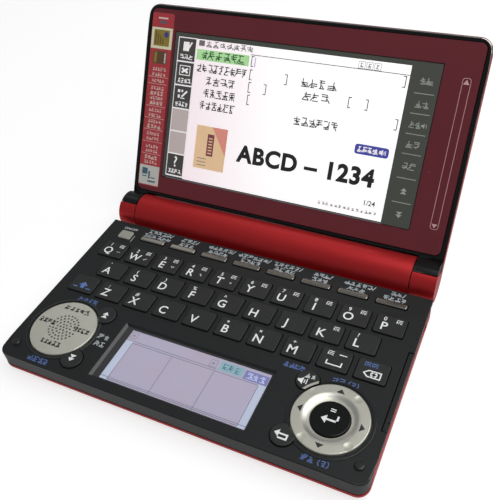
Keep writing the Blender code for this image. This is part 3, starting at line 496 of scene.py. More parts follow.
deep = front_band - gap
half_rim, rim_front = half_case - red_lip, front - deck_inset + red_lip
deck = slab("deck_cover_shell", (-half_rim, rim_front, face - deep), (half_rim, back, face))
round_off(deck, case_corner - red_lip, 10, upright(lambda end: end.y < ring_middle.y))
round_off(deck, deck_edge, 3, level(face, lambda end: end.y < back - gap))
cut(deck, slab("hollow", (deck_skirt - half_deck, front + deck_skirt, face - deep - past),
               (half_deck - deck_skirt, back + past, face - deck_thickness)))
combine(deck, over_band("deck over the red", gap / 2), "INTERSECT")
inner = stylus_low.x - gap
channel_low = (inner - channel_wall, stylus_low.y - gap - channel_wall, face - side_band - channel_wall)
channel_high = (half_case - side_wall - gap, stylus_high.y + gap + channel_wall, face - deck_thickness / 2)
combine(deck, slab("channel block", channel_low, channel_high))
for middle in (pad_middle, ring_middle):
    outer = rocker_radius + gap + lip_groove + lip_width
    lip = puck("lip", outer, middle, face - deck_thickness / 2, face + lip_height)
    round_off(lip, lip_height * 0.9, 3, level(face + lip_height))
    groove = puck("lip groove", rocker_radius + gap + lip_groove, middle, face, face + past)
    cut(lip, groove)
    combine(deck, lip)
windows = []
through = (face - deck_thickness - past, face + past)
for node in letter_keys + menu_keys + ["power_key"]:
    middle, half = key_window(node)
    window = widened("window", (middle.x - half.x, middle.y - half.y), (middle.x + half.x, middle.y + half.y),
                     gap, *through)
    windows.append(round_off(window, min(key_corner, half.y / 2), 4, upright()))
cut(deck, joined("windows", windows))
for node, middle, rocker in satellites():
    cut(deck, puck("hole", satellite_radius + gap, middle, *through, 64))
for middle in (pad_middle, ring_middle):
    cut(deck, puck("hole", rocker_radius + gap, middle, *through))
cut(deck, widened("screen hole", pen_low, pen_high, gap, *through))
rim = widened("screen rim", pen_low, pen_high, 2 * gap, face - screen_depth, face - gap / 10)
wide = (pen_low - Vector((gap, gap, 0)), pen_high + Vector((gap, gap, 0)))
mouth = flared("mouth", (wide[0].x + slope_left, wide[0].y + slope_front, face - screen_depth),
               (wide[1].x - slope_right, wide[1].y - slope_back, face), *wide)
cut(rim, mouth)
combine(deck, rim)
cut(deck, slab("stylus channel", (inner, stylus_low.y - gap, face - side_band),
               (half_case + past, stylus_high.y + gap, face + past)))
for side in (-1, 1):
    middle = place_of(side * (half_deck - bumper_inset), bumper_front)
    bumper = puck("bumper", bumper_radius, middle, face - deck_thickness / 2, face + bumper_height, 48)
    round_off(bumper, bumper_height * 0.8, 5, level(face + bumper_height))
    combine(deck, bumper)

# grained ABS moulded in black: matt, with a fine even grain that breaks up the light
black_abs = grained("spark-grained black ABS", {"Specular IOR Level": 0.25, "IOR": 1.5},
                    0.22 * mm, 0.012 * mm, "#191a1b", "#1d1f1f", (0.42, 0.56))
wear(soften(deck, 0.1 * mm), black_abs)


def rubbed(spot):
    """Whether a place on the deck is a lip, a bumper, the rounded border or a slope round the pen display."""
    border = max(abs(spot.x) - half_rim, rim_front - spot.y) > -deck_edge and spot.z > face - deck_edge
    slope = (pen_low.x - gap < spot.x < pen_high.x + gap and pen_low.y - gap < spot.y < pen_high.y + gap
             and spot.z > face - screen_depth)
    return spot.z > face + gap / 10 or (spot.z < face - gap / 10 and (border or slope))


# the same black ABS from the polished parts of the mould: thin bright lines where a lamp stands in it
polished_abs = grained("polished black ABS", {"Specular IOR Level": 0.4, "IOR": 1.5},
                       0.5 * mm, 0.0005 * mm, "#191a1b", "#1e2020", (0.2, 0.27))
faced(deck, polished_abs, rubbed)
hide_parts("deck_cover")
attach(deck, "base")

# Stylus
# A flat stylus of black ABS clips into the channel in the deck's right edge. A nick near its front end
# takes a nail to lift it out, and its point is tapered.
nick_start, nick_end, nick_depth = 0.7 * mm, 3.8 * mm, 0.7 * mm
stylus_edge, point_share = 0.2 * mm, 0.5
stylus_high.x = half_rim
stylus = slab("stylus_body", stylus_low, stylus_high)
pick(stylus, "FACE", lambda ends: all(end.y > stylus_high.y - gap / 10 for end in ends))
bpy.ops.mesh.extrude_region_move(TRANSFORM_OT_translate={"value": (0, 0, 0)})
stylus_middle = (stylus_low + stylus_high) / 2
bpy.ops.transform.resize(value=(point_share, 1, point_share), center_override=stylus_middle)
bpy.ops.object.mode_set(mode="OBJECT")
nick = slab("nick", (stylus_high.x - (stylus_high.x - stylus_low.x) / 2, stylus_low.y + nick_start,
                     stylus_high.z - nick_depth),
            (stylus_high.x + past, stylus_low.y + nick_end, stylus_high.z + past))
cut(stylus, nick)
wear(soften(stylus, stylus_edge, 3), black_abs)
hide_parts("stylus")
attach(stylus, "stylus")

# Letter keys
# Twenty-nine caps in black ABS with a finer grain, each on a flange that holds it under the deck. The
# faces are very slightly dished, and the marks are pad-printed on them in white and blue ink.
key_rise, key_edge = 0.7 * mm, 0.32 * mm
dish_border, dish = 0.4 * mm, 0.05 * mm
flange_top, flange_thickness = -1.8 * mm, 0.8 * mm
print_lift = 0.015 * mm             # how proud a print stands, enough to keep it off the face
letter_height, letter_place = 5.3 * mm, Vector((-2.15, -1.15)) * mm
small_height, small_place = 2.5 * mm, Vector((-2.5, 2.55)) * mm
mark_place, stroke_place = Vector((2.9, 2.6)) * mm, Vector((3.0, -0.9)) * mm


def key_cap(name, half, corner, edge, dished):
    """A cap at the world's middle, its face at the height it stands over the deck, with its flange."""
    cap = slab(name, (-half.x, -half.y, flange_top), (half.x, half.y, key_rise))
    round_off(cap, corner, 5, upright())
    round_off(cap, edge, 3, level(key_rise))
    if dished:
        pick(cap, "FACE", lambda ends: all(end.z > key_rise - gap / 10 for end in ends))
        bpy.ops.mesh.inset(thickness=dish_border)
        bpy.ops.transform.translate(value=(0, 0, -dish))
    pick(cap, "FACE", lambda ends: all(end.z < flange_top + gap / 10 for end in ends))
    wide = ((half.x + flange_lip) / half.x, (half.y + flange_lip) / half.y, 1)
    bpy.ops.mesh.extrude_region_move(TRANSFORM_OT_translate={"value": (0, 0, 0)})
    bpy.ops.transform.resize(value=wide, center_override=(0, 0, 0))
    bpy.ops.mesh.extrude_region_move(TRANSFORM_OT_translate={"value": (0, 0, -flange_thickness)})
    return soften(cap, 0)


def copied(obj, name, place):
    """A copy with a mesh of its own, moved to a place."""
    take(obj)
    bpy.ops.object.duplicate(linked=False)
    bpy.context.object.location = place
    return named(name)


def lettering(text, height, place, finish, weight=0.012, spread=1.0):
    """Flat printed characters, centred on a place on the surface."""
    calm()
    bpy.ops.object.text_add(location=place)
    words = bpy.context.object
    words.data.body = text
    words.data.size = height
    words.data.align_x = words.data.align_y = "CENTER"
    words.data.extrude = print_lift
    words.data.offset = weight * height
    words.data.space_character = spread
    words.data.resolution_u = 4
    bpy.ops.object.convert(target="MESH")
    words = named("print")
    return wear(words, finish)


def stamped(shapes, place, finish):
    """Flat printed shapes, drawn in millimetres round a place on the surface."""
    points, faces = [], []
    for outline in shapes:
        faces.append(range(len(points), len(points) + len(outline)))
        points.extend((x * mm, y * mm, 0) for x, y in outline)
    obj = drawn("print", points, faces)
    wall = obj.modifiers.new("ink", "SOLIDIFY")
    wall.thickness = 2 * print_lift
    wall.offset = 0
    bpy.ops.object.modifier_apply(modifier=wall.name)
    obj.location = place
    return wear(settle(obj), finish)


def greeked(count, width, height, weight, seed, shift=(0, 0)):
    """A row of small printed marks, each a tangle of a few strokes."""
    chance = random.Random(seed)
    size = min(0.9 * width / count, 1.15 * height)
    shapes = []
    for index in range(count):
        x, y = shift[0] + (index + 0.5) * width / count - width / 2, shift[1]
        for rung in chance.sample((0.46, 0.22, -0.02, -0.26, -0.46), 3):
            reach = chance.uniform(0.26, 0.5) * size
            shapes.append(bar(x + chance.uniform(-0.5, 0.5) * (size - 2 * reach) - reach,
                              y + rung * height - weight / 2, 2 * reach, weight))
        stem = x + chance.uniform(-0.3, 0.3) * size
        low = chance.choice((-0.5, -0.2))
        shapes.append(bar(stem - weight / 2, y + low * height, weight, (0.5 - low) * height))
        for side in chance.choice(((-1, 1), (-1,), (1,))):
            shapes.append(stroke((stem + side * 0.08 * size, y - 0.02 * height),
                                 (stem + side * 0.42 * size, y - 0.5 * height), weight))
    return shapes


def bar(x, y, width, height):
    """One straight stroke of a printed mark, from its lower left corner."""
    return [(x, y), (x + width, y), (x + width, y + height), (x, y + height)]


def stroke(start, end, width):
    """One slanted stroke of a printed mark."""
    along_it = Vector((end[0] - start[0], end[1] - start[1])).normalized() * width / 2
    side = Vector((-along_it.y, along_it.x))
    return [tuple(Vector(start) - side), tuple(Vector(end) - side), tuple(Vector(end) + side),
            tuple(Vector(start) + side)]


def layered(layers, finishes, back, height):
    """Prints laid over one another on a surface: the name of each one's finish, its layer and its shapes."""
    return [stamped(shapes, Vector((0, back, height + (layer + 1) * print_lift / 2)), finishes[name])
            for name, layer, shapes in layers]


def ink(name, thin, full, rough=0.5):
    """Pad-printing ink: opaque, a little glossier than grained plastic, and thinner in places."""
    return grained(name, {"Roughness": rough, "IOR": 1.5}, 0.12 * mm, 0.001 * mm, thin, full)


white_ink = ink("white pad-printing ink", "#dadddd", "#eceeed")
soft_white_ink = ink("thin white pad-printing ink", "#b0babf", "#c3cbce")
grey_ink = ink("grey pad-printing ink", "#a0a4a3", "#b2b6b5")
blue_ink = ink("blue pad-printing ink", "#4d68a4", "#5c78b2")
key_abs = grained("fine-grained black ABS", {"Specular IOR Level": 0.35, "IOR": 1.5},
                  0.16 * mm, 0.008 * mm, "#1e1f1f", "#232424", (0.38, 0.5))

over_letters = dict(zip("qwertyuiopasdfghjklzxcvbnm", "1234567890'()%^   ?:#& +-"))
over_letters.update({"n": "×", "m": "÷", "c": ""})
side_strokes = {"q": [bar(-0.9, -0.15, 1.8, 0.3)], "w": [stroke((-0.7, -0.5), (0.7, 0.5), 0.6)],
                "e": [stroke((-0.7, 0.4), (0, -0.4), 0.6), stroke((0, -0.4), (0.7, 0.4), 0.6)],
                "r": [stroke((-0.6, 0.6), (0.4, -0.6), 0.6)], "t": [bar(-0.4, -0.4, 0.8, 0.8)]}
small_mark = [bar(-1.1, 0.55, 2.2, 0.3), bar(-1.1, -0.9, 0.35, 1.2), bar(-0.4, -0.2, 1.5, 0.3),
              bar(-0.4, -0.9, 0.3, 0.5), bar(0.3, -0.9, 0.8, 0.3)]
space_icon = [bar(-3, -0.9, 0.5, 1.5), bar(-3, -1.4, 6, 0.5), bar(2.5, -0.9, 0.5, 1.5)]
delete_icon = [[(-3.4, 0), (-1.6, 1.6), (3.2, 1.6), (3.2, 1.1), (-1.35, 1.1), (-2.7, 0)],
               [(-3.4, 0), (-2.7, 0), (-1.35, -1.1), (3.2, -1.1), (3.2, -1.6), (-1.6, -1.6)],
               bar(2.7, -1.1, 0.5, 2.2), stroke((-0.5, -0.6), (1.7, 0.6), 1.0),
               stroke((-0.5, 0.6), (1.7, -0.6), 1.0)]
shift_icon = [[(-2.2, 0), (0, 1.9), (2.2, 0)], bar(-0.9, -1.5, 1.8, 1.5), bar(-4.2, -1.5, 2.2, 0.45),
              bar(2.0, -1.5, 2.2, 0.45)]


def key_prints(node, top):
    """The marks on one letter key, round the middle of its face."""
    letter = node.removeprefix("key_")
    if letter == "space":
        return [stamped(small_mark, top + Vector((-2.2, 2.6, 0)) * mm, white_ink),
                stamped([bar(1.0, 2.5, 2.8, 0.4)], top, white_ink),
                stamped(space_icon, top + Vector((0.2, -1.2, 0)) * mm, white_ink)]
    if letter == "delete":
        return [stamped(small_mark, top + Vector((x, 2.5, 0)) * mm, blue_ink) for x in (-2.2, 0.4)] + [
            stamped(delete_icon, top + Vector((0.4, -1.4, 0)) * mm, white_ink)]
    if letter == "shift":
        return [stamped(shift_icon, top + Vector((0.2, -1.0, 0)) * mm, blue_ink)]
    marks = [lettering(letter.upper(), letter_height, top + letter_place.to_3d(), white_ink)]
    if over_letters[letter].strip():
        marks.append(lettering(over_letters[letter], small_height, top + small_place.to_3d(), white_ink))
    if letter in "qwertyuiopk":
        marks.append(stamped(small_mark, top + mark_place.to_3d(), white_ink))
    if letter in side_strokes:
        marks.append(stamped(side_strokes[letter], top + stroke_place.to_3d(), grey_ink))
    return marks


pattern = key_cap("letter cap", key_window("key_q")[1], key_corner, key_edge, True)
for node in letter_keys:
    middle = key_window(node)[0]
    cap = wear(copied(pattern, "cap", (middle.x, middle.y, face)), key_abs)
    top = Vector((middle.x, middle.y, face + key_rise - dish))
    cap = joined(f"{node}_cap", [cap, *key_prints(node, top)])
    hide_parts(node)
    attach(cap, node)
bpy.data.objects.remove(pattern)

# Menu keys and power key
# Eight slim plated bars with a rolled face, which draws the light into a line, and one power key in a
# silver metallic paint. They stand in the row behind the letters.
roll_edge = 0.6 * mm
power_corner = 0.8 * mm
# silver-painted ABS: fine aluminium flakes in a clear binder, so it is part metal and softly bright
painted = {"Metallic": 0.55, "Roughness": 0.34, "IOR": 1.5, "Coat Weight": 0.4, "Coat Roughness": 0.1,
           "Coat IOR": 1.5}
silver_paint = grained("silver-painted ABS", painted, 0.12 * mm, 0.004 * mm, "#bab9ac", "#c4c3b7", (0.3, 0.4))
# vacuum-plated ABS under a smoked lacquer: it mirrors the dark lid behind it, so that it looks half dark
plated = grained("smoked plated ABS", {"Metallic": 1.0, "Roughness": 0.12},
                 0.5 * mm, 0.00005 * mm, "#8f8c84", "#99968d", (0.11, 0.15))
half = key_window("menu_key_1")[1]
pattern = key_cap("menu bar", half, half.y / 2, roll_edge, False)
for node in menu_keys:
    middle = key_window(node)[0]
    cap = wear(copied(pattern, f"{node}_cap", (middle.x, middle.y, face)), plated)
    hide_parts(node)
    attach(cap, node)
bpy.data.objects.remove(pattern)
middle, half = key_window("power_key")
cap = key_cap("power_key_cap", half, power_corner, key_edge, True)
cap.location = (middle.x, middle.y, face)
# the same paint a shade darker: a painted reflection of the dark lid, which the key's flat top mirrors
silver_paint_painted_reflection = grained("silver-painted ABS darkened by a painted reflection", painted, 0.12 * mm, 0.004 * mm, "#a09f93", "#aaa99d",
                     (0.3, 0.4))
wear(settle(cap), silver_paint_painted_reflection)
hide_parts("power_key")
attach(cap, "power_key")

# Deck prints
# Rows of small marks are pad-printed in white and blue on the deck, beside the keys that they belong to.
# A plain ON/OFF stands over the power key, and a short line beside it. All are drawn in millimetres.
menu_words = {"menu_key_1": (5, 6), "menu_key_2": (3, 3), "menu_key_3": (5, 4), "menu_key_4": (6, 4),
              "menu_key_5": (5, 4), "menu_key_6": (3, 3), "menu_key_7": (5, 3), "menu_key_8": (2, 4)}
menu_pitch, menu_rows, menu_shift, small_word = 2.35, (79.8, 77.15), 0.6, 1.95
blue_words = ((4, 9.2, -55.2, 34.0), (4, 9.6, -55.6, 1.95), (2, 4.6, 52.6, 33.7), (2, 4.6, 53.1, 2.3),
              (4, 8.6, 35.8, 34.0))
bracket_middles, bracket_width = (Vector((57.9, 33.7)), Vector((58.4, 2.3))), 3.4
white_words = ((2, 5.0, -37.85, 20.2), (2, 5.2, -37.5, 16.8))
word_height, word_weight = 2.15, 0.3
white_shapes, blue_shapes = [], []
for seed, (node, counts) in enumerate(menu_words.items()):
    x = key_window(node)[0].x / mm + menu_shift
    for row, count in enumerate(counts):
        white_shapes += greeked(count, count * menu_pitch, small_word, 0.26, 10 * seed + row,
                                (x, menu_rows[row]))
    end = x + counts[0] * menu_pitch / 2
    white_shapes.append(stroke((end, menu_rows[0] - 1.1), (end + 1.0, menu_rows[0] + 1.1), 0.3))
for seed, (count, width, x, y) in enumerate(white_words):
    white_shapes += greeked(count, width, word_height, word_weight, 200 + seed, (x, y))
for seed, (count, width, x, y) in enumerate(blue_words):
    blue_shapes += greeked(count, width, word_height, word_weight, 300 + seed, (x, y))
for middle in bracket_middles:
    half = bracket_width / 2
    blue_shapes += greeked(1, 1.7, word_height * 0.85, word_weight, 400, middle)
    for side in (-1, 1):
        bend = middle.x + side * half
        blue_shapes += [stroke((bend - side * 0.5, middle.y + 1.2), (bend, middle.y + 0.4), 0.26),
                        stroke((bend, middle.y + 0.4), (bend, middle.y - 0.4), 0.26),
                        stroke((bend, middle.y - 0.4), (bend - side * 0.5, middle.y - 1.2), 0.26)]
white_shapes.append(bar(-58.5, 70.9, 0.22, 3.9))
prints = [stamped(white_shapes, place_of(0, 0), soft_white_ink),
          stamped(blue_shapes, place_of(0, 0), blue_ink),
          lettering("ON/OFF", 1.9 * mm, place_of(-62.7 * mm, 78.3 * mm), soft_white_ink)]
prints = joined("deck_prints", prints)
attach(prints, "base")

# Speaker pad and page keys
# The left rocker is a hollow disc in silver-painted ABS, with the speaker's holes drilled in rings through
# its middle and a black felt behind them. Two small round black keys are cut away where they meet it.
pad_rise, pad_wall, pad_shell, round_edge = 0.5 * mm, 2.0 * mm, 0.9 * mm, 0.4 * mm
rocker_flange, rocker_flange_top, rocker_flange_low = 14.35 * mm, -2.3 * mm, -2.8 * mm
hole_radius, hole_pitch, hole_rings = 0.44 * mm, 1.47 * mm, 4
closed_half, closed_from = 0.7, 2.9     # pitches: the strip at the far left and right that has no holes
strip_reach, strip_width = 0.75 * mm, 0.9 * mm
pad_words = ((5, 11.4, -55.85, 27.9), (4, 7.9, -64.0, 19.05), (4, 7.5, -47.9, 19.35), (5, 8.9, -56.0, 10.3))


def turned(name, outline, middle, steps=96):
    """A closed outline of radius and height, turned once round an upright axis."""
    obj = drawn(name, [(radius, 0, height) for radius, height in outline], [range(len(outline))])
    pick(obj, "FACE", lambda ends: True)
    bpy.ops.mesh.delete(type="ONLY_FACE")
    bpy.ops.mesh.select_all(action="SELECT")
    bpy.ops.mesh.spin(steps=steps, angle=2 * math.pi, center=(0, 0, 0), axis=(0, 0, 1))
    bpy.ops.mesh.select_all(action="SELECT")
    bpy.ops.mesh.remove_doubles(threshold=0.002 * mm)
    bpy.ops.mesh.select_all(action="SELECT")
    bpy.ops.mesh.normals_make_consistent(inside=False)
    calm()
    obj.location = middle
    return settle(obj)


def corner_of(radius, height, edge):
    """The points of an outline's rounded outer corner, from its top to its side."""
    turns = [math.radians(22.5 * step) for step in range(5)]
    return [(radius - edge + edge * math.sin(turn), height - edge + edge * math.cos(turn)) for turn in turns]


outline = [(0, pad_rise), *corner_of(rocker_radius, pad_rise, round_edge),
           (rocker_radius, rocker_flange_top), (rocker_flange, rocker_flange_top),
           (rocker_flange, rocker_flange_low), (rocker_radius - pad_wall, rocker_flange_low),
           (rocker_radius - pad_wall, pad_rise - pad_shell), (0, pad_rise - pad_shell)]
pad = turned("speaker_pad_disc", outline, pad_middle)
holes = []
for ring in range(hole_rings + 1):
    for step in range(max(1, 6 * ring)):
        turn = 2 * math.pi * step / max(1, 6 * ring)
        spot = Vector((math.cos(turn), math.sin(turn), 0)) * hole_pitch * ring
        if abs(spot.y) < hole_pitch * closed_half and abs(spot.x) > hole_pitch * closed_from:
            continue
        holes.append(puck("hole", hole_radius, pad_middle + spot, face - past, face + past, 12))
cut(pad, joined("speaker holes", holes))
wear(soften(pad, 0), silver_paint)
# pressed felt: quite matt and nearly black, so that the holes in front of it read as holes
felt = grained("black pressed felt", {"Roughness": 0.95, "IOR": 1.5},
               0.1 * mm, 0.02 * mm, "#0c0c0d", "#141415")
cloth = wear(puck("felt", hole_pitch * (hole_rings + 1), pad_middle, face - pad_shell,
                  face + pad_rise - pad_shell - gap / 10, 48), felt)
black_ink = ink("black pad-printing ink", "#151615", "#222322")
words = [shape for seed, (count, width, x, y) in enumerate(pad_words)
         for shape in greeked(count, width, 2.0, 0.36, 500 + seed, (x, y))]
pad = joined("speaker_pad_disc", [pad, cloth, stamped(words, place_of(0, 0, pad_rise), black_ink)])
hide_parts("speaker_pad")
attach(pad, "speaker_pad")


def doubled(way):
    """A double arrowhead pointing up or down: two solid triangles, one over the other."""
    return [[(-1.35, way * low), (0, way * (low + 1.5)), (1.35, way * low)] for low in (-1.6, -0.1)]


speaker_icon = [bar(-2.9, -0.55, 0.8, 1.1), [(-2.1, -0.55), (-1.0, -1.5), (-1.0, 1.5), (-2.1, 0.55)],
                stroke((-0.4, -0.7), (-0.4, 0.7), 0.35), stroke((0.4, -1.1), (0.4, 1.1), 0.35)]
exit_icon = [[(-2.6, 0.3), (-0.9, 1.7), (-0.9, -1.1)], bar(-0.9, 0, 2.7, 0.6), bar(1.8, -1.6, 0.6, 2.2),
             bar(-0.9, -1.6, 2.7, 0.6)]
round_prints = {"page_up_key": (doubled(1), (0, 0)), "page_down_key": (doubled(-1), (0, 0)),
                "exit_key": (exit_icon, (-0.3, -0.3)), "voice_key": (speaker_icon, (-0.5, -0.9))}


def round_key(node, middle, rocker):
    """One satellite key, with a soft edge and a hollow where the rocker beside it needs room."""
    low = flange_top - flange_thickness
    key = turned(f"{node}_cap", [(0, key_rise - dish), (satellite_radius * 0.78, key_rise - dish),
                                 *corner_of(satellite_radius, key_rise, key_edge),
                                 (satellite_radius, flange_top), (satellite_radius + flange_lip, flange_top),
                                 (satellite_radius + flange_lip, low), (0, low)], middle, 64)
    step = face - deck_thickness + gap * 3
    cut(key, puck("room", rocker_radius + 2 * gap, rocker, step, face + past, 128))
    cut(key, puck("room", rocker_flange + 2 * gap, rocker, face + low - past, step, 128))
    return wear(soften(key, 0), key_abs)


for node, middle, rocker in satellites():
    key = round_key(node, middle, rocker)
    shapes, (x, y) = round_prints[node]
    top = Vector((middle.x, middle.y, face + key_rise - dish))
    pieces = [key, stamped(shapes, top + Vector((x, y, 0)) * mm, white_ink)]
    if node == "voice_key":
        pieces.append(stamped(greeked(2, 4.0, 1.7, 0.3, 600), top + Vector((0.4, 1.7, 0)) * mm, white_ink))
        strip = puck("strip", rocker_radius + strip_reach + strip_width, rocker, face + key_rise - gap,
                     face + key_rise + gap / 10, 192)
        cut(strip, puck("rocker room", rocker_radius + strip_reach, rocker, face, face + past, 192))
        ends = puck("strip ends", satellite_radius - key_edge, middle, face, face + past)
        combine(strip, ends, "INTERSECT")
        pieces.append(wear(soften(strip, 0.05 * mm), silver_paint))
    key = joined(f"{node}_cap", pieces)
    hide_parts(node)
    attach(key, node)

# Direction ring and enter key
# The right rocker is a ring in the same silver paint, with a polished slope down to the black enter key.
# It tips to four sides, which four printed arrows and four shallow dimples mark.
enter_radius, enter_rise, enter_flange = 6.7 * mm, 0.5 * mm, 1.0 * mm
enter_flange_top, enter_low = -3.37 * mm, -3.77 * mm
ring_rise, ring_slope, ring_groove = 0.8 * mm, 1.1 * mm, 2.6 * mm
dimple_turns, dimple_place, dimple_ball, dimple_depth = (57, 138, 238, 318), 12.0 * mm, 7.0 * mm, 0.2 * mm
arrow_place = 10.15                 # from the middle to an arrow's foot
hole = enter_radius + gap
groove = hole + ring_groove
swell = [(reach, ring_rise - ring_slope * (1 - reach * reach * (3 - 2 * reach)))
         for reach in (step / 9 for step in range(10))]
outline = [*((hole + (ring_groove + 2 * gap) * reach, height) for reach, height in swell),
           *corner_of(rocker_radius, ring_rise, round_edge), (rocker_radius, rocker_flange_top),
           (rocker_flange, rocker_flange_top), (rocker_flange, rocker_flange_low), (hole, rocker_flange_low)]
ring = turned("direction_ring_dial", outline, ring_middle, 128)
for turn in dimple_turns:
    way = math.radians(turn)
    spot = ring_middle + Vector((math.cos(way), math.sin(way), 0)) * dimple_place
    calm()
    bpy.ops.mesh.primitive_uv_sphere_add(
        segments=48, ring_count=32, radius=dimple_ball,
        location=spot + Vector((0, 0, ring_rise + dimple_ball - dimple_depth)))
    cut(ring, named("dimple"))
wear(soften(ring, 0), silver_paint)
# polished plating on the slope: a mirror, a little softened, that catches the light on its far side
polished = grained("polished plated ABS", {"Metallic": 1.0, "Roughness": 0.36},
                   0.3 * mm, 0.0001 * mm, "#c3c3ba", "#cecec6", (0.33, 0.39))
faced(ring, polished, lambda spot: spot.z > face and (spot - ring_middle).xy.length < groove)
arrow = [(-1.55, 0), (0, 1.7), (1.55, 0)]
arrows = [[tuple(Matrix.Rotation(math.pi / 2 * turn, 2) @ Vector((x, y + arrow_place))) for x, y in arrow]
          for turn in range(4)]
arrows = stamped(arrows, ring_middle + Vector((0, 0, ring_rise)), black_ink)
ring = joined("direction_ring_dial", [ring, arrows])
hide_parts("direction_ring")
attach(ring, "direction_ring")
outline = [(0, enter_rise - dish), (enter_radius * 0.7, enter_rise - dish),
           *corner_of(enter_radius, enter_rise, key_edge), (enter_radius, enter_flange_top),
           (enter_radius + enter_flange, enter_flange_top), (enter_radius + enter_flange, enter_low),
           (0, enter_low)]
# high-gloss black ABS: nearly black, with the lamps in it as small clear spots
gloss_abs = grained("high-gloss black ABS", {"Specular IOR Level": 0.22, "IOR": 1.5},
                    0.5 * mm, 0.0005 * mm, "#0f1010", "#141515", (0.14, 0.2))
enter = wear(soften(turned("enter_key_cap", outline, ring_middle, 96), 0), gloss_abs)
enter_icon = [bar(-0.95, 2.6, 1.9, 0.38), bar(-0.95, 3.35, 1.9, 0.38),
              [(-3.1, -0.7), (-1.2, 0.9), (-1.2, -2.3)],
              bar(-1.2, -1.05, 4.0, 0.7), bar(2.1, -1.05, 0.7, 2.6)]
enter = joined("enter_key_cap", [
    enter, stamped(enter_icon, ring_middle + Vector((0, 0, enter_rise - dish)), white_ink)])
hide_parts("enter_key")
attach(enter, "enter_key")

# Pen display
# A small resistive touch display sits in the deck between the rockers, under a soft polyester film. It is
# lit, and shows a writing grid and two tabs, drawn in millimetres.
screen = slab("pen_display_panel", pen_low, pen_high)
# satin polyester film over a dark border: a soft sheen that spreads each reflection wide
film = grained("satin film over a dark border", {"Roughness": 0.3, "IOR": 1.5},
               0.2 * mm, 0.003 * mm, "#202122", "#262728")
wear(soften(screen, 0.1 * mm), film)


def lit(name, dim, bright, glow, rough=0.3):
    """A colour shown by a display: part of its light is its own, and not quite even."""
    made, tree, shader = finish_named(name, {"Roughness": rough, "IOR": 1.5, "Emission Strength": glow})
    tree.links.new(grain(tree, shader, 0.35 * mm, 0, dim, bright), shader.inputs["Emission Color"])
    return made


def shown_in(colours):
    """A display's colours by name, each with its dim and its bright shade and its glow."""
    return {name: lit(f"lit {name}", *shades) for name, *shades in colours}


pen_colours = shown_in((
    ("lavender display", "#acabc3", "#b2a4b5", 0.06), ("pale blue", "#b1b9cf", "#bcc3d7", 0.1),
    ("grey blue", "#6a6f83", "#74798d", 0.05), ("teal tab", "#86a7b6", "#91b0bc", 0.08),
    ("blue tab", "#7478ac", "#7f83b4", 0.08), ("dark teal", "#4f7f8e", "#5a8896", 0.05),
    ("pale words", "#bcc4e6", "#c6cdea", 0.15)))
grid_left, grid_right, grid_low, grid_high = -26.3, 26.7, 4.7, 22.2
shown_left, shown_right, shown_low, shown_high = -29.4, 29.7, 4.4, 28.0
line = 0.22
rules = [bar(shown_left, 23.1, 39, line), bar(grid_left, grid_high, grid_right - grid_left, line),
         bar(shown_left, 5.55, shown_right - shown_left, line), bar(grid_left, grid_low + 0.2, 53, line)]
rules += [bar(x, grid_low, line, grid_high - grid_low) for x in (grid_left, -8.7, 9.1, grid_right)]
for x, y in ((-28.9, 24.2), (6.1, 23.6)):
    rules += [bar(x, y, 2.7, line * 0.7), bar(x, y + 3, 2.7, line * 0.7), bar(x, y, line * 0.7, 3),
              bar(x + 2.7, y, line * 0.7, 3.1), [(x + 1, y + 0.9), (x + 2, y + 1.5), (x + 1, y + 2.1)]]
shown_width, edge_height = shown_right - shown_left, grid_high - shown_low
layers = (("lavender display", 0, [bar(shown_left, shown_low, shown_width, shown_high - shown_low)]),
          ("pale blue", 1, [bar(shown_left, shown_low, grid_left - shown_left, edge_height + 0.9),
                            bar(grid_right, shown_low, shown_right - grid_right, edge_height + 0.5)]),
          ("grey blue", 2, rules), ("teal tab", 2, [bar(10.1, 23.1, 9.5, 4.1)]),
          ("blue tab", 2, [bar(20.2, 22.9, 9.3, 3.9)]),
          ("dark teal", 3, greeked(3, 7.6, 2.5, 0.32, 701, (14.8, 25.1))),
          ("pale words", 3, greeked(3, 7.4, 2.4, 0.3, 702, (24.8, 24.8))))
screen = joined("pen_display_panel", [screen, *layered(layers, pen_colours, front, pen_high.z)])
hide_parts("pen_display")
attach(screen, "base")

# Lid shell
# The red back of the lid, moulded in ABS and lacquered like the base, with a knuckle at each end that
# turns on the housing: on the steel shaft at the right, and on its own moulded pin at the left.
half_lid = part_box("lid_back_shell")[1].x
lid_open = 121                      # degrees from shut, as it stands
lid_turn = Matrix.Translation(hinge) @ Matrix.Rotation(math.radians(180 - lid_open), 4, "X")
lid_length, lid_back, lid_face = 92.3 * mm, -7.75 * mm, -2.25 * mm
lid_corner, lid_edge, rim_wall = 5.2 * mm, 2.4 * mm, 1.1 * mm
frame_back, seam = -6.25 * mm, 3.85 * mm
frame_inset, frame_flange, flange_gap = 0.2 * mm, 1.2 * mm, 0.08 * mm
pin_radius, shaft_bore, shaft_bore_depth = 2.8 * mm, 2.4 * mm, 4.0 * mm
knuckle_left, knuckle_right = barrel_left - hinge_gap, barrel_right + hinge_gap


def opened(obj):
    """Turns a lid piece, modelled lying flat round the hinge's axis, to the place it has on the open lid."""
    take(obj)
    obj.matrix_world = lid_turn
    return settle(obj)


def knuckle(radius, start, end):
    """A bar on the hinge's axis, for the flat lid."""
    return rod("knuckle", radius, (start, 0, 0), (end, 0, 0), 128)


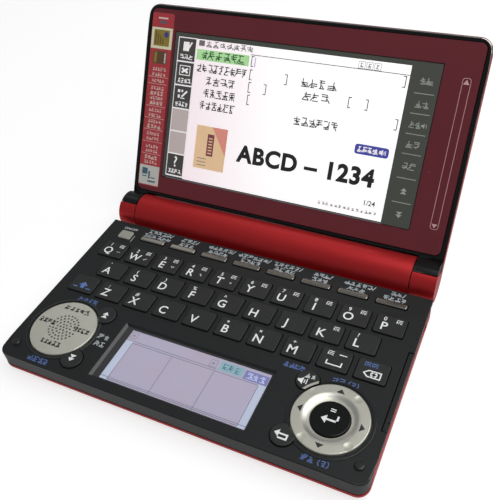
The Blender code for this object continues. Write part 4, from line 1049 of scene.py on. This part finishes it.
shell = slab("lid_shell", (-half_lid, 0, lid_back), (half_lid, lid_length, lid_face - frame_flange))
round_off(shell, lid_corner, 12, upright(lambda end: end.y > barrel_radius))
round_off(shell, lid_edge, 6, level(lid_back, lambda end: end.y > gap))
combine(shell, knuckle(barrel_radius, -half_lid, knuckle_left))
combine(shell, knuckle(barrel_radius, knuckle_right, half_lid))
hollow = slab("hollow", (rim_wall - half_lid, seam, frame_back - gap),
              (half_lid - rim_wall, lid_length - rim_wall, barrel_radius + past))
round_off(hollow, lid_corner - rim_wall, 10, upright(lambda end: end.y > barrel_radius))
cut(shell, hollow)
cut(shell, slab("frame room", (-half_lid - past, seam, lid_face - frame_flange),
                (half_lid + past, barrel_radius + past, barrel_radius + past)))
cut(shell, knuckle(barrel_radius + hinge_gap, knuckle_left, knuckle_right))
cut(shell, knuckle(shaft_bore, barrel_right, knuckle_right + shaft_bore_depth))
combine(shell, knuckle(pin_radius, knuckle_left - past, barrel_left + pin_bore_depth - gap))
wear(opened(soften(shell, 0.12 * mm)), red_lacquer)
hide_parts("lid_back_shell")
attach(shell, "lid")

# Lid frame
# The black inner frame fills the shell and carries the display. Its flange lies on the shell's rim, it wraps
# the front of both knuckles, and its rounded outer edge is plated in a dark chrome.
bezel_half, bezel_foot, bezel_head = 71.2 * mm, 9.9 * mm, 90.3 * mm
bezel_top, bezel_low, bezel_corner = -2.35 * mm, -3.15 * mm, 2.5 * mm
window_low, window_high = Vector((-58.95, 17.5, 0)) * mm, Vector((57.45, 81.7, 0)) * mm
module_overlap, module_low = 1.0 * mm, -5.45 * mm
rim, rim_head = half_lid - rim_wall - gap, lid_length - rim_wall - gap
flange_half, flange_head = half_lid - frame_inset, lid_length - frame_inset
flange_corner, trim_round, trim_foot = lid_corner - frame_inset, 0.45 * mm, 8.6 * mm
inner = slab("lid_frame", (-rim, 0, frame_back), (rim, rim_head, lid_face - frame_flange / 2))
round_off(inner, lid_corner - rim_wall - gap, 10, upright(lambda end: end.y > barrel_radius))
flange = slab("frame flange", (-flange_half, 0, lid_face - frame_flange + flange_gap),
              (flange_half, flange_head, lid_face))
round_off(flange, flange_corner, 12, upright(lambda end: end.y > barrel_radius))
round_off(flange, trim_round, 4, level(lid_face, lambda end: end.y > gap))
combine(inner, flange)
combine(inner, knuckle(barrel_radius, -flange_half, knuckle_left - gap))
combine(inner, knuckle(barrel_radius, knuckle_right + gap, flange_half))
deep = barrel_radius + past
for side in (-1, 1):
    start, end = sorted((side * rim, side * (half_lid + past)))
    cut(inner, slab("shell side", (start, -deep, -deep), (end, deep, lid_face - frame_flange + flange_gap)))
cut(inner, slab("red side", (-half_lid, -deep, -deep), (half_lid, seam + gap, deep)))
cut(inner, slab("back side", (-half_lid, -deep, -deep), (half_lid, deep, frame_back)))
cut(inner, knuckle(barrel_radius + hinge_gap + gap, knuckle_left - gap, knuckle_right + gap))
pocket = widened("plate pocket", (-bezel_half, bezel_foot), (bezel_half, bezel_head), gap, bezel_low - gap,
                 lid_face + past)
cut(inner, round_off(pocket, bezel_corner, 6, upright()))
cut(inner, widened("module pocket", window_low, window_high, module_overlap + gap, module_low - gap,
                   lid_face + past))


def on_trim(spot):
    """Whether a place lies on the flange's rounded outer edge."""
    over = Vector((max(abs(spot.x) - flange_half + flange_corner, 0),
                   max(spot.y - flange_head + flange_corner, 0)))
    return (over.length > flange_corner - trim_round and spot.z > lid_face - trim_round * 1.1
            and spot.y > trim_foot)


bands = [(x, 0) for x in (0, bezel_corner - bezel_half, bezel_half - bezel_corner)]
bands += [(y, 1) for y in (seam + 2 * gap, bezel_foot - 2 * gap, bezel_foot + bezel_corner,
                           (bezel_foot + bezel_head) / 2, bezel_head - bezel_corner, bezel_head + gap * 1.5)]
for reach, way in bands:
    across = Vector((1 - way, way, 0))
    pick(inner, "FACE", lambda ends: True)
    bpy.ops.mesh.bisect(plane_co=across * reach, plane_no=across)
    calm()
wear(soften(inner, 0.06 * mm), gloss_abs)
# dark chrome on ABS: a smooth mirror that stays dark until a light stands in it
dark_chrome = grained("dark chrome on ABS", {"Metallic": 1.0, "Roughness": 0.2},
                      0.4 * mm, 0.0001 * mm, "#a09995", "#aca5a1", (0.18, 0.24))
opened(faced(inner, dark_chrome, on_trim))
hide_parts("lid_inner_frame")
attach(inner, "lid")

# Display plate
# A plate of cast acrylic, back-printed in a deep wine red, lies flush in the frame round the display. The
# slider's outline and the lamp's window are screen-printed on it, and are drawn in millimetres.
plate = slab("display_plate", (-bezel_half, bezel_foot, bezel_low), (bezel_half, bezel_head, bezel_top))
round_off(plate, bezel_corner, 8, upright())
cut(plate, widened("window", window_low, window_high, 0, bezel_low - past, bezel_top + past))
# back-printed acrylic: the colour lies under a clear glossy sheet with fine polishing marks
wine = grained("back-printed wine-red acrylic", {
    "Roughness": 0.35, "IOR": 1.49, "Specular IOR Level": 0.15, "Coat Weight": 0.2, "Coat Roughness": 0.08,
    "Coat IOR": 1.49}, 0.8 * mm, 0.002 * mm, "#67282f", "#702f36")
pink_ink = ink("pale pink screen-printing ink", "#cfa0a3", "#dfb0b3", 0.4)
rim_left, rim_right, rim_foot, rim_head, rim_line = 65.0, 68.0, 19.9, 77.6, 0.2
slider = [bar(rim_left, rim_foot + 0.8, rim_line, rim_head - rim_foot - 1.6),
          bar(rim_right, rim_foot + 0.8, rim_line, rim_head - rim_foot - 1.6),
          bar(rim_left + 0.8, rim_foot, rim_right - rim_left - 1.4, rim_line),
          bar(rim_left + 0.8, rim_head - rim_line, rim_right - rim_left - 1.4, rim_line)]
for x, side in ((rim_left + rim_line / 2, 1), (rim_right + rim_line / 2, -1)):
    for y, way in ((rim_foot + rim_line / 2, 1), (rim_head - rim_line / 2, -1)):
        slider.append(stroke((x, y + way * 0.85), (x + side * 0.25, y + way * 0.25), rim_line))
        slider.append(stroke((x + side * 0.2, y + way * 0.28), (x + side * 0.85, y), rim_line))
slider += [[(65.4, 75.2), (66.55, 77.0), (67.7, 75.2)], [(65.4, 22.1), (67.7, 22.1), (66.55, 20.5)]]


def disc(x, y, radius, steps):
    """The outline of a round printed spot."""
    return [(x + radius * math.cos(turn), y + radius * math.sin(turn))
            for turn in (2 * math.pi / steps * step for step in range(steps))]


lamp_mark = [disc(60.0, 41.6, 0.45, 16)]
lamp = ink("dim red lamp window", "#66263a", "#74303f", 0.3)
wear(soften(plate, 0.08 * mm), wine)
plate_top = Vector((0, 0, bezel_top))
plate = opened(joined("display_plate", [plate, stamped(slider, plate_top, pink_ink),
                                        stamped(lamp_mark, plate_top, lamp)]))
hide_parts("display_bezel")
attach(plate, "lid")

# Main display
# The display module fills the plate's window with its glass. Behind the glass lie the lit picture, a list
# over a title and a small book, and two columns of touch keys, all drawn in millimetres.
glass_sink, module_top, module_floor = 0.1 * mm, -3.45 * mm, 0.8 * mm
module = widened("display_module", window_low, window_high, module_overlap, module_low, module_top)
pane_top = bezel_top - glass_sink
combine(module, widened("pane", window_low, window_high, -gap, module_low + module_floor, pane_top))
mask = grained("display glass over a dark mask", {"Roughness": 0.2, "IOR": 1.5, "Specular IOR Level": 0.3},
               0.5 * mm, 0.001 * mm, "#50534d", "#575a53")
wear(soften(module, 0.08 * mm), mask)

# a lit display: white, turning pinker toward its left side, where a painted cast stands in for the pink tint
# it shows when seen from the side
paper, tree, shader = finish_named("lit white display", {"Roughness": 0.3, "IOR": 1.5,
                                                         "Specular IOR Level": 0.2, "Emission Strength": 0.5})
where = add_node(tree, "ShaderNodeTexCoord", {}).outputs["Object"]
apart = add_node(tree, "ShaderNodeSeparateXYZ", {"Vector": where})
# the painted cast: the share of pink grows from the middle of the display toward its left edge
share = add_node(tree, "ShaderNodeMapRange", {"Value": apart.outputs["X"], "From Min": -50 * mm,
                                              "From Max": -5 * mm})
tint = add_node(tree, "ShaderNodeMixRGB", {"Fac": share.outputs["Result"], "Color1": colour("#eedfe3"),
                                           "Color2": colour("#fbfafa")})
tree.links.new(tint.outputs["Color"], shader.inputs["Base Color"])
tree.links.new(tint.outputs["Color"], shader.inputs["Emission Color"])
colours = shown_in((
    ("dark words", "#363538", "#3e3d40", 0), ("grey words", "#7b787c", "#858286", 0.05),
    ("black title", "#202022", "#28282a", 0), ("pale cursor", "#c9c5e3", "#d3cfe9", 0.2),
    ("green row", "#a6d796", "#b1dfa2", 0.34), ("dark green words", "#2c6a33", "#34733b", 0),
    ("dark cell", "#474643", "#504f4c", 0.05), ("pale cell", "#bcaeab", "#c6b8b5", 0.25),
    ("white marks", "#efebec", "#f6f3f4", 0.3), ("blue badge", "#474bb2", "#5357bd", 0.1),
    ("tan cover", "#deba90", "#e6c49b", 0.35), ("salmon band", "#de8d7e", "#e89889", 0.25),
    ("plum label", "#884650", "#94505b", 0.1)))
colours.update({"paper": paper, "touch keys": lit("pale touch-key print", "#acaea5", "#b8bab1", 0)})

shown_left, shown_right, shown_foot, shown_head = -47.8, 45.6, 18.4, 79.6
cells_left, cell_width, cells_head, cell_height, cell_pitch = -56.55, 8.4, 79.3, 9.45, 10.08
row_heights = (73.35, 67.95, 62.8, 57.7, 52.5)
word_rows = ((9, 24.5, -34.5, 1), (4, 14.5, -34.45, 2), (5, 15.9, -34.4, 3), (6, 17.6, -34.5, 4),
             (4, 15.1, 9.75, 1), (3, 11.4, 9.6, 2), (6, 19.7, 11.3, 4))
brackets = ((-20.9, 0, 1, 0), (-20.9, 1, 1, 0), (-20.8, 2, 1, 0), (-20.6, 3, 1, 0), (23.5, 2, 1, 0),
            (-4.0, 1, -1, 0), (-12.8, 2, -1, 0), (31.4, 2, -1, 0), (44.4, 0, -1, 0), (44.4, 3, -1, 0.6))
bracket_height, bracket_foot, thin = 4.3, 1.1, 0.34
separators, strip_words = (69.8, 62.25, 54.5, 46.8, 37.3, 27.6), (74.6, 65.9, 58.2, 50.6, 42.2)
strip_middle, separator_width = 52.1, 7.6

cells_dark, cells_pale, cell_marks = [], [], []
for index in range(6):
    low = cells_head - cell_height - index * cell_pitch
    (cells_pale if index in (3, 4) else cells_dark).append(bar(cells_left, low, cell_width, cell_height))
cells_back = [bar(cells_left - 0.35, shown_foot + 0.4, cell_width + 0.7, cells_head - shown_foot)]
for index in (0, 1, 2, 5):
    middle = (cells_left + cell_width / 2, cells_head - cell_height * 0.82 - index * cell_pitch)
    cell_marks += greeked(4 if index else 3, 6.6, 1.9, 0.28, 800 + index, middle)
note_x, note_y = cells_left + cell_width / 2, cells_head - 3.4
cell_marks += [bar(note_x - 1.9, note_y - 1.9, 2.9, 3.8),
               stroke((note_x + 0.4, note_y - 1.3), (note_x + 2.3, note_y + 1.9), 0.7)]
frame_y = note_y - cell_pitch
cell_marks += [bar(note_x - 2.7, frame_y - 2.1, 5.4, 0.35), bar(note_x - 2.7, frame_y + 1.8, 5.4, 0.35),
               bar(note_x - 2.7, frame_y - 2.1, 0.35, 4.2), bar(note_x + 2.35, frame_y - 2.1, 0.35, 4.2),
               stroke((note_x - 1.5, frame_y - 0.9), (note_x + 1.5, frame_y + 0.9), 0.9),
               stroke((note_x - 1.5, frame_y + 0.9), (note_x + 1.5, frame_y - 0.9), 0.9)]
pen_y = note_y - 2 * cell_pitch
cell_marks += [stroke((note_x - 0.3, pen_y - 1.2), (note_x + 2.3, pen_y + 1.4), 0.8),
               bar(note_x - 2.4, pen_y + 0.6, 1.2, 1.2), bar(note_x - 2.2, pen_y - 1.8, 1.0, 1.4),
               bar(note_x - 0.6, pen_y + 0.9, 0.9, 0.9), bar(note_x - 0.9, pen_y - 2.0, 2.2, 0.4)]

words_dark = [shape for seed, (count, width, x, row) in enumerate(word_rows, 821)
              for shape in greeked(count, width, 3.3, 0.4, seed, (x, row_heights[row]))]
for x, row, side, drop in brackets:
    y = row_heights[row] - (bracket_height / 2 + drop)
    words_dark.append(bar(x - thin / 2, y, thin, bracket_height))
    for foot in (y, y + bracket_height - thin):
        words_dark.append(bar(min(x, x + side * bracket_foot), foot, bracket_foot, thin))
words_dark += greeked(7, 22.6, 2.5, 0.26, 840, (-32.0, 78.0))
rules = [bar(-21.6, 75.8, shown_right + 21.6, 0.3),
         bar(cells_left, shown_foot - 0.75, shown_right - cells_left, 0.3)]
words_grey = [bar(-46.7, 76.9, 2.8, 2.3)] + greeked(14, 26.0, 1.1, 0.18, 841, (30.5, 21.1))
for index in range(3):
    left = 24.9 + 3.2 * index
    words_grey += [bar(left, 76.1, 2.7, 0.16), bar(left, 78.7, 2.7, 0.16), bar(left, 76.1, 0.16, 2.7),
                   bar(left + 2.6, 76.1, 0.16, 2.7)]
    words_grey += greeked(1, 1.5, 1.5, 0.22, 842 + index, (left + 1.35, 77.4))


def rounded(left, foot, right, head, corner):
    """The outline of a printed block with round corners."""
    turns = [[math.radians(start + 22.5 * step) for step in range(5)] for start in (0, 90, 180, 270)]
    middles = ((right - corner, head - corner), (left + corner, head - corner),
               (left + corner, foot + corner), (right - corner, foot + corner))
    return [(x + corner * math.cos(turn), y + corner * math.sin(turn))
            for (x, y), arc in zip(middles, turns) for turn in arc]


badge = [rounded(29.4, 43.6, 43.4, 47.6, 1.1)]
badge_marks = greeked(4, 8.2, 2.1, 0.4, 850, (34.7, 45.6)) + [
    bar(39.5, 45.0, 0.6, 1.2), [(40.1, 45.0), (41.0, 44.4), (41.0, 46.8), (40.1, 46.2)],
    stroke((41.5, 45.0), (41.5, 46.2), 0.28), stroke((42.1, 44.7), (42.1, 46.5), 0.28)]
book_left, book_foot, book_wide, book_tall = -43.1, 24.9, 15.4, 18.9
book_lines = [bar(book_left + 1.6, book_foot + 1.4 + 1.5 * step, 4.6, 0.3) for step in range(3)]
label = [bar(book_left + 5.9, book_foot + 6.0, 3.3, 9.6)]
label_marks = [bar(book_left + 6.6, book_foot + 7.0 + 1.3 * step, 1.9, 0.5) for step in range(6)]
strip = [bar(strip_middle - separator_width / 2, y, separator_width, 0.28) for y in separators]
for seed, y in enumerate(strip_words):
    width, shift = (4.0, 1.1) if seed == 2 else (5.6, 0)
    strip += greeked(2, width, 2.5, 0.3, 860 + seed, (strip_middle - shift, y))
for y, way in ((32.4, 1), (22.8, -1)):
    strip += [[(strip_middle + x * 1.25, y + way * (low + 1.25 * (x == 0))) for x in (-1, 0, 1)]
              for low in (-1.2, 0)]
strip += [[(53.5, 57.85), (54.1, 57.85), (54.8, 57.2), (54.8, 59.2), (54.1, 58.55), (53.5, 58.55)],
          stroke((55.5, 57.5), (55.5, 58.9), 0.25)]
layers = (("paper", 0, [bar(shown_left, shown_foot, shown_right - shown_left, shown_head - shown_foot)]),
          ("white marks", 0, cells_back), ("dark cell", 1, cells_dark), ("pale cell", 1, cells_pale),
          ("white marks", 2, cell_marks), ("green row", 1, [bar(-47.3, 71.15, 25.2, 4.4)]),
          ("dark green words", 2, greeked(6, 21.4, 3.4, 0.42, 820, (-34.5, row_heights[0]))),
          ("dark words", 1, words_dark), ("grey words", 1, words_grey + rules),
          ("pale cursor", 1, [bar(-19.5, 71.2, 0.5, 3.9)]), ("blue badge", 1, badge),
          ("white marks", 2, badge_marks),
          ("tan cover", 1, [bar(book_left, book_foot, book_wide, book_tall)]),
          ("salmon band", 2, [[(book_left + 7.7, book_foot + book_tall),
                               (book_left + book_wide, book_foot + 7),
                               (book_left + book_wide, book_foot + book_tall)]]),
          ("plum label", 3, label), ("tan cover", 4, label_marks), ("grey words", 2, book_lines),
          ("touch keys", 0, strip))
pieces = [module, *layered(layers, colours, 0, pane_top),
          lettering("ABCD – 1234", 9.8 * mm, Vector((9 * mm, 34.4 * mm, pane_top + print_lift)),
                    colours["black title"], 0.042, 1.1),
          lettering("?", 6.6 * mm, Vector((cells_left * mm + cell_width * mm / 2, 25.4 * mm,
                                           pane_top + 1.5 * print_lift)), colours["white marks"]),
          lettering("1/24", 2.9 * mm, Vector((39.4 * mm, 24.7 * mm, pane_top + print_lift)),
                    colours["dark words"])]
module = opened(joined("display_module", pieces))
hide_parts("main_display")
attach(module, "lid")

# Feature label
# A strip of glossy paper label is stuck on the plate's left edge, printed with rows of small marks and plain
# blocks of colour. It is drawn in millimetres.
label_left, label_right, label_foot, label_head, label_corner = -71.1, -60.1, 11.9, 88.5, 0.9
label_inks = {name: ink(f"{name} label print", *shades) for name, *shades in (
    ("red", "#b5383f", "#c04349", 0.25), ("cream", "#eee9c6", "#f6f1cf", 0.3),
    ("olive-gold", "#927e2d", "#a08c38", 0.3), ("brown", "#634530", "#6f4f3a", 0.3),
    ("pale", "#e6c8bf", "#f0d4cb", 0.3), ("violet", "#454088", "#514a92", 0.3),
    ("light grey", "#cfd0c9", "#dadbd4", 0.3), ("teal", "#406573", "#4b707d", 0.3))}
middle = (label_left + label_right) / 2
small_rows = (64.8, 62.5, 59.8, 56.5, 52.2, 46.8, 44.4, 41.7, 36.2, 33.9, 30.3, 28.3, 23.0)
bold_rows = (54.3, 50.0, 39.4, 25.2)
row_rules = (61.3, 58.3, 48.4, 43.1, 37.9, 32.4, 26.8)
rows = [shape for seed, y in enumerate(small_rows)
        for shape in greeked(5, 6.9, 1.35, 0.2, 900 + seed, (middle + 0.1, y))]
rows += [shape for seed, y in enumerate(bold_rows)
         for shape in greeked(4, 6.9, 1.6, 0.34, 950 + seed, (middle + 0.1, y))]
rows += [bar(label_left + 0.5, y, label_right - label_left - 1, 0.16) for y in row_rules]
layers = (("red", 0, [rounded(label_left, label_foot, label_right, label_head, label_corner)]),
          ("cream", 1, [bar(label_left + 0.2, 73.5, label_right - label_left - 0.4, 8.9)]),
          ("olive-gold", 2, [bar(middle - 4.0, 74.7, 7.9, 6.8)]),
          ("brown", 3, [bar(middle - 3.3 + 1.25 * row, 75.4, 0.5, 5.4 - 0.9 * row) for row in range(4)]),
          ("violet", 4, [disc(middle + 2.3, 79.6, 1.2, 12)]),
          ("brown", 1, [bar(middle - 3.6, 67.1, 6.9, 5.4)]),
          ("olive-gold", 2, [bar(middle - 3.0, 67.6, 1.3, 4.4)]),
          ("light grey", 2, [bar(middle + 2.2, 67.6, 0.7, 4.2)]), ("pale", 1, rows),
          ("teal", 1, [bar(middle - 1.6, 84.2, 3.2, 0.9)]), ("pale", 1, [bar(middle - 2.4, 86.0, 4.8, 0.7)]),
          ("light grey", 1, [bar(label_left + 0.2, 12.4, label_right - label_left - 0.4, 9.0)]),
          ("teal", 2, [bar(middle - 3.8, 17.2, 2.9, 2.9), bar(middle - 0.4, 15.2, 0.9, 3.6),
                       bar(middle + 0.9, 15.6, 2.4, 0.5), bar(middle - 3.6, 16.0, 2.4, 0.5),
                       bar(middle - 0.6, 13.7, 4.2, 0.8)]))
sticker = opened(joined("feature_label", layered(layers, label_inks, 0, bezel_top)))
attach(sticker, "lid")

# Studio
# A pale floor, soft light from three panels, a front lamp and the sky, and the camera as it was worked out
# from the photograph.
floor_half, floor_glow, sky_glow = 9.0, 0.72, 0.34
camera_place = (0.094350, -0.161016, 0.194251)
camera_turn = Matrix(((0.904251, -0.237120, 0.355113), (0.417907, 0.662181, -0.621989),
                      (-0.087663, 0.710838, 0.697871)))
camera_lens, camera_shift = 45.335, (-0.015693, 0.033892)

calm()
bpy.ops.mesh.primitive_plane_add(size=2 * floor_half)
floor = bpy.context.object
floor.name = "studio_floor"
pale, tree, shader = finish_named("white studio board", {
    "Base Color": colour("#9c9c9c"), "Roughness": 0.9, "Emission Color": colour("#ffffff")})
seen = add_node(tree, "ShaderNodeLightPath", {})
total = seen.outputs["Is Camera Ray"]
for kind in ("Is Glossy Ray", "Is Transmission Ray"):
    total = add_node(tree, "ShaderNodeMath", {0: total, 1: seen.outputs[kind]}, operation="ADD").outputs[0]
glow = add_node(tree, "ShaderNodeMath", {0: total, 1: floor_glow}, operation="MULTIPLY")
tree.links.new(glow.outputs[0], shader.inputs["Emission Strength"])
wear(floor, pale)

for name, place, size, energy in (("top panel", (0.35, 0.05, 0.85), 0.7, 4.8),
                                  ("left panel", (-0.5, 0.42, 0.75), 0.35, 0.2),
                                  ("right panel", (0.62, 0.42, 0.6), 0.4, 1.6),
                                  ("front lamp", (0.6, -0.42, 0.5), 0.15, 0.5)):
    calm()
    bpy.ops.object.light_add(type="AREA", location=place)
    lamp = bpy.context.object
    lamp.name = name
    lamp.data.size = size
    lamp.data.energy = energy
    lamp.rotation_euler = (-Vector(place)).to_track_quat("-Z", "Y").to_euler()
sky = bpy.data.worlds.new("studio sky")
bpy.context.scene.world = sky
sky.use_nodes = True
sky.node_tree.nodes["Background"].inputs["Color"].default_value = colour("#f2f4f7")
sky.node_tree.nodes["Background"].inputs["Strength"].default_value = sky_glow

calm()
bpy.ops.object.camera_add(location=camera_place, rotation=camera_turn.to_euler())
camera = bpy.context.object
camera.data.lens = camera_lens
camera.data.shift_x, camera.data.shift_y = camera_shift
camera.data.clip_start = 0.01
bpy.context.scene.camera = camera
bpy.context.scene.view_settings.view_transform = "Standard"
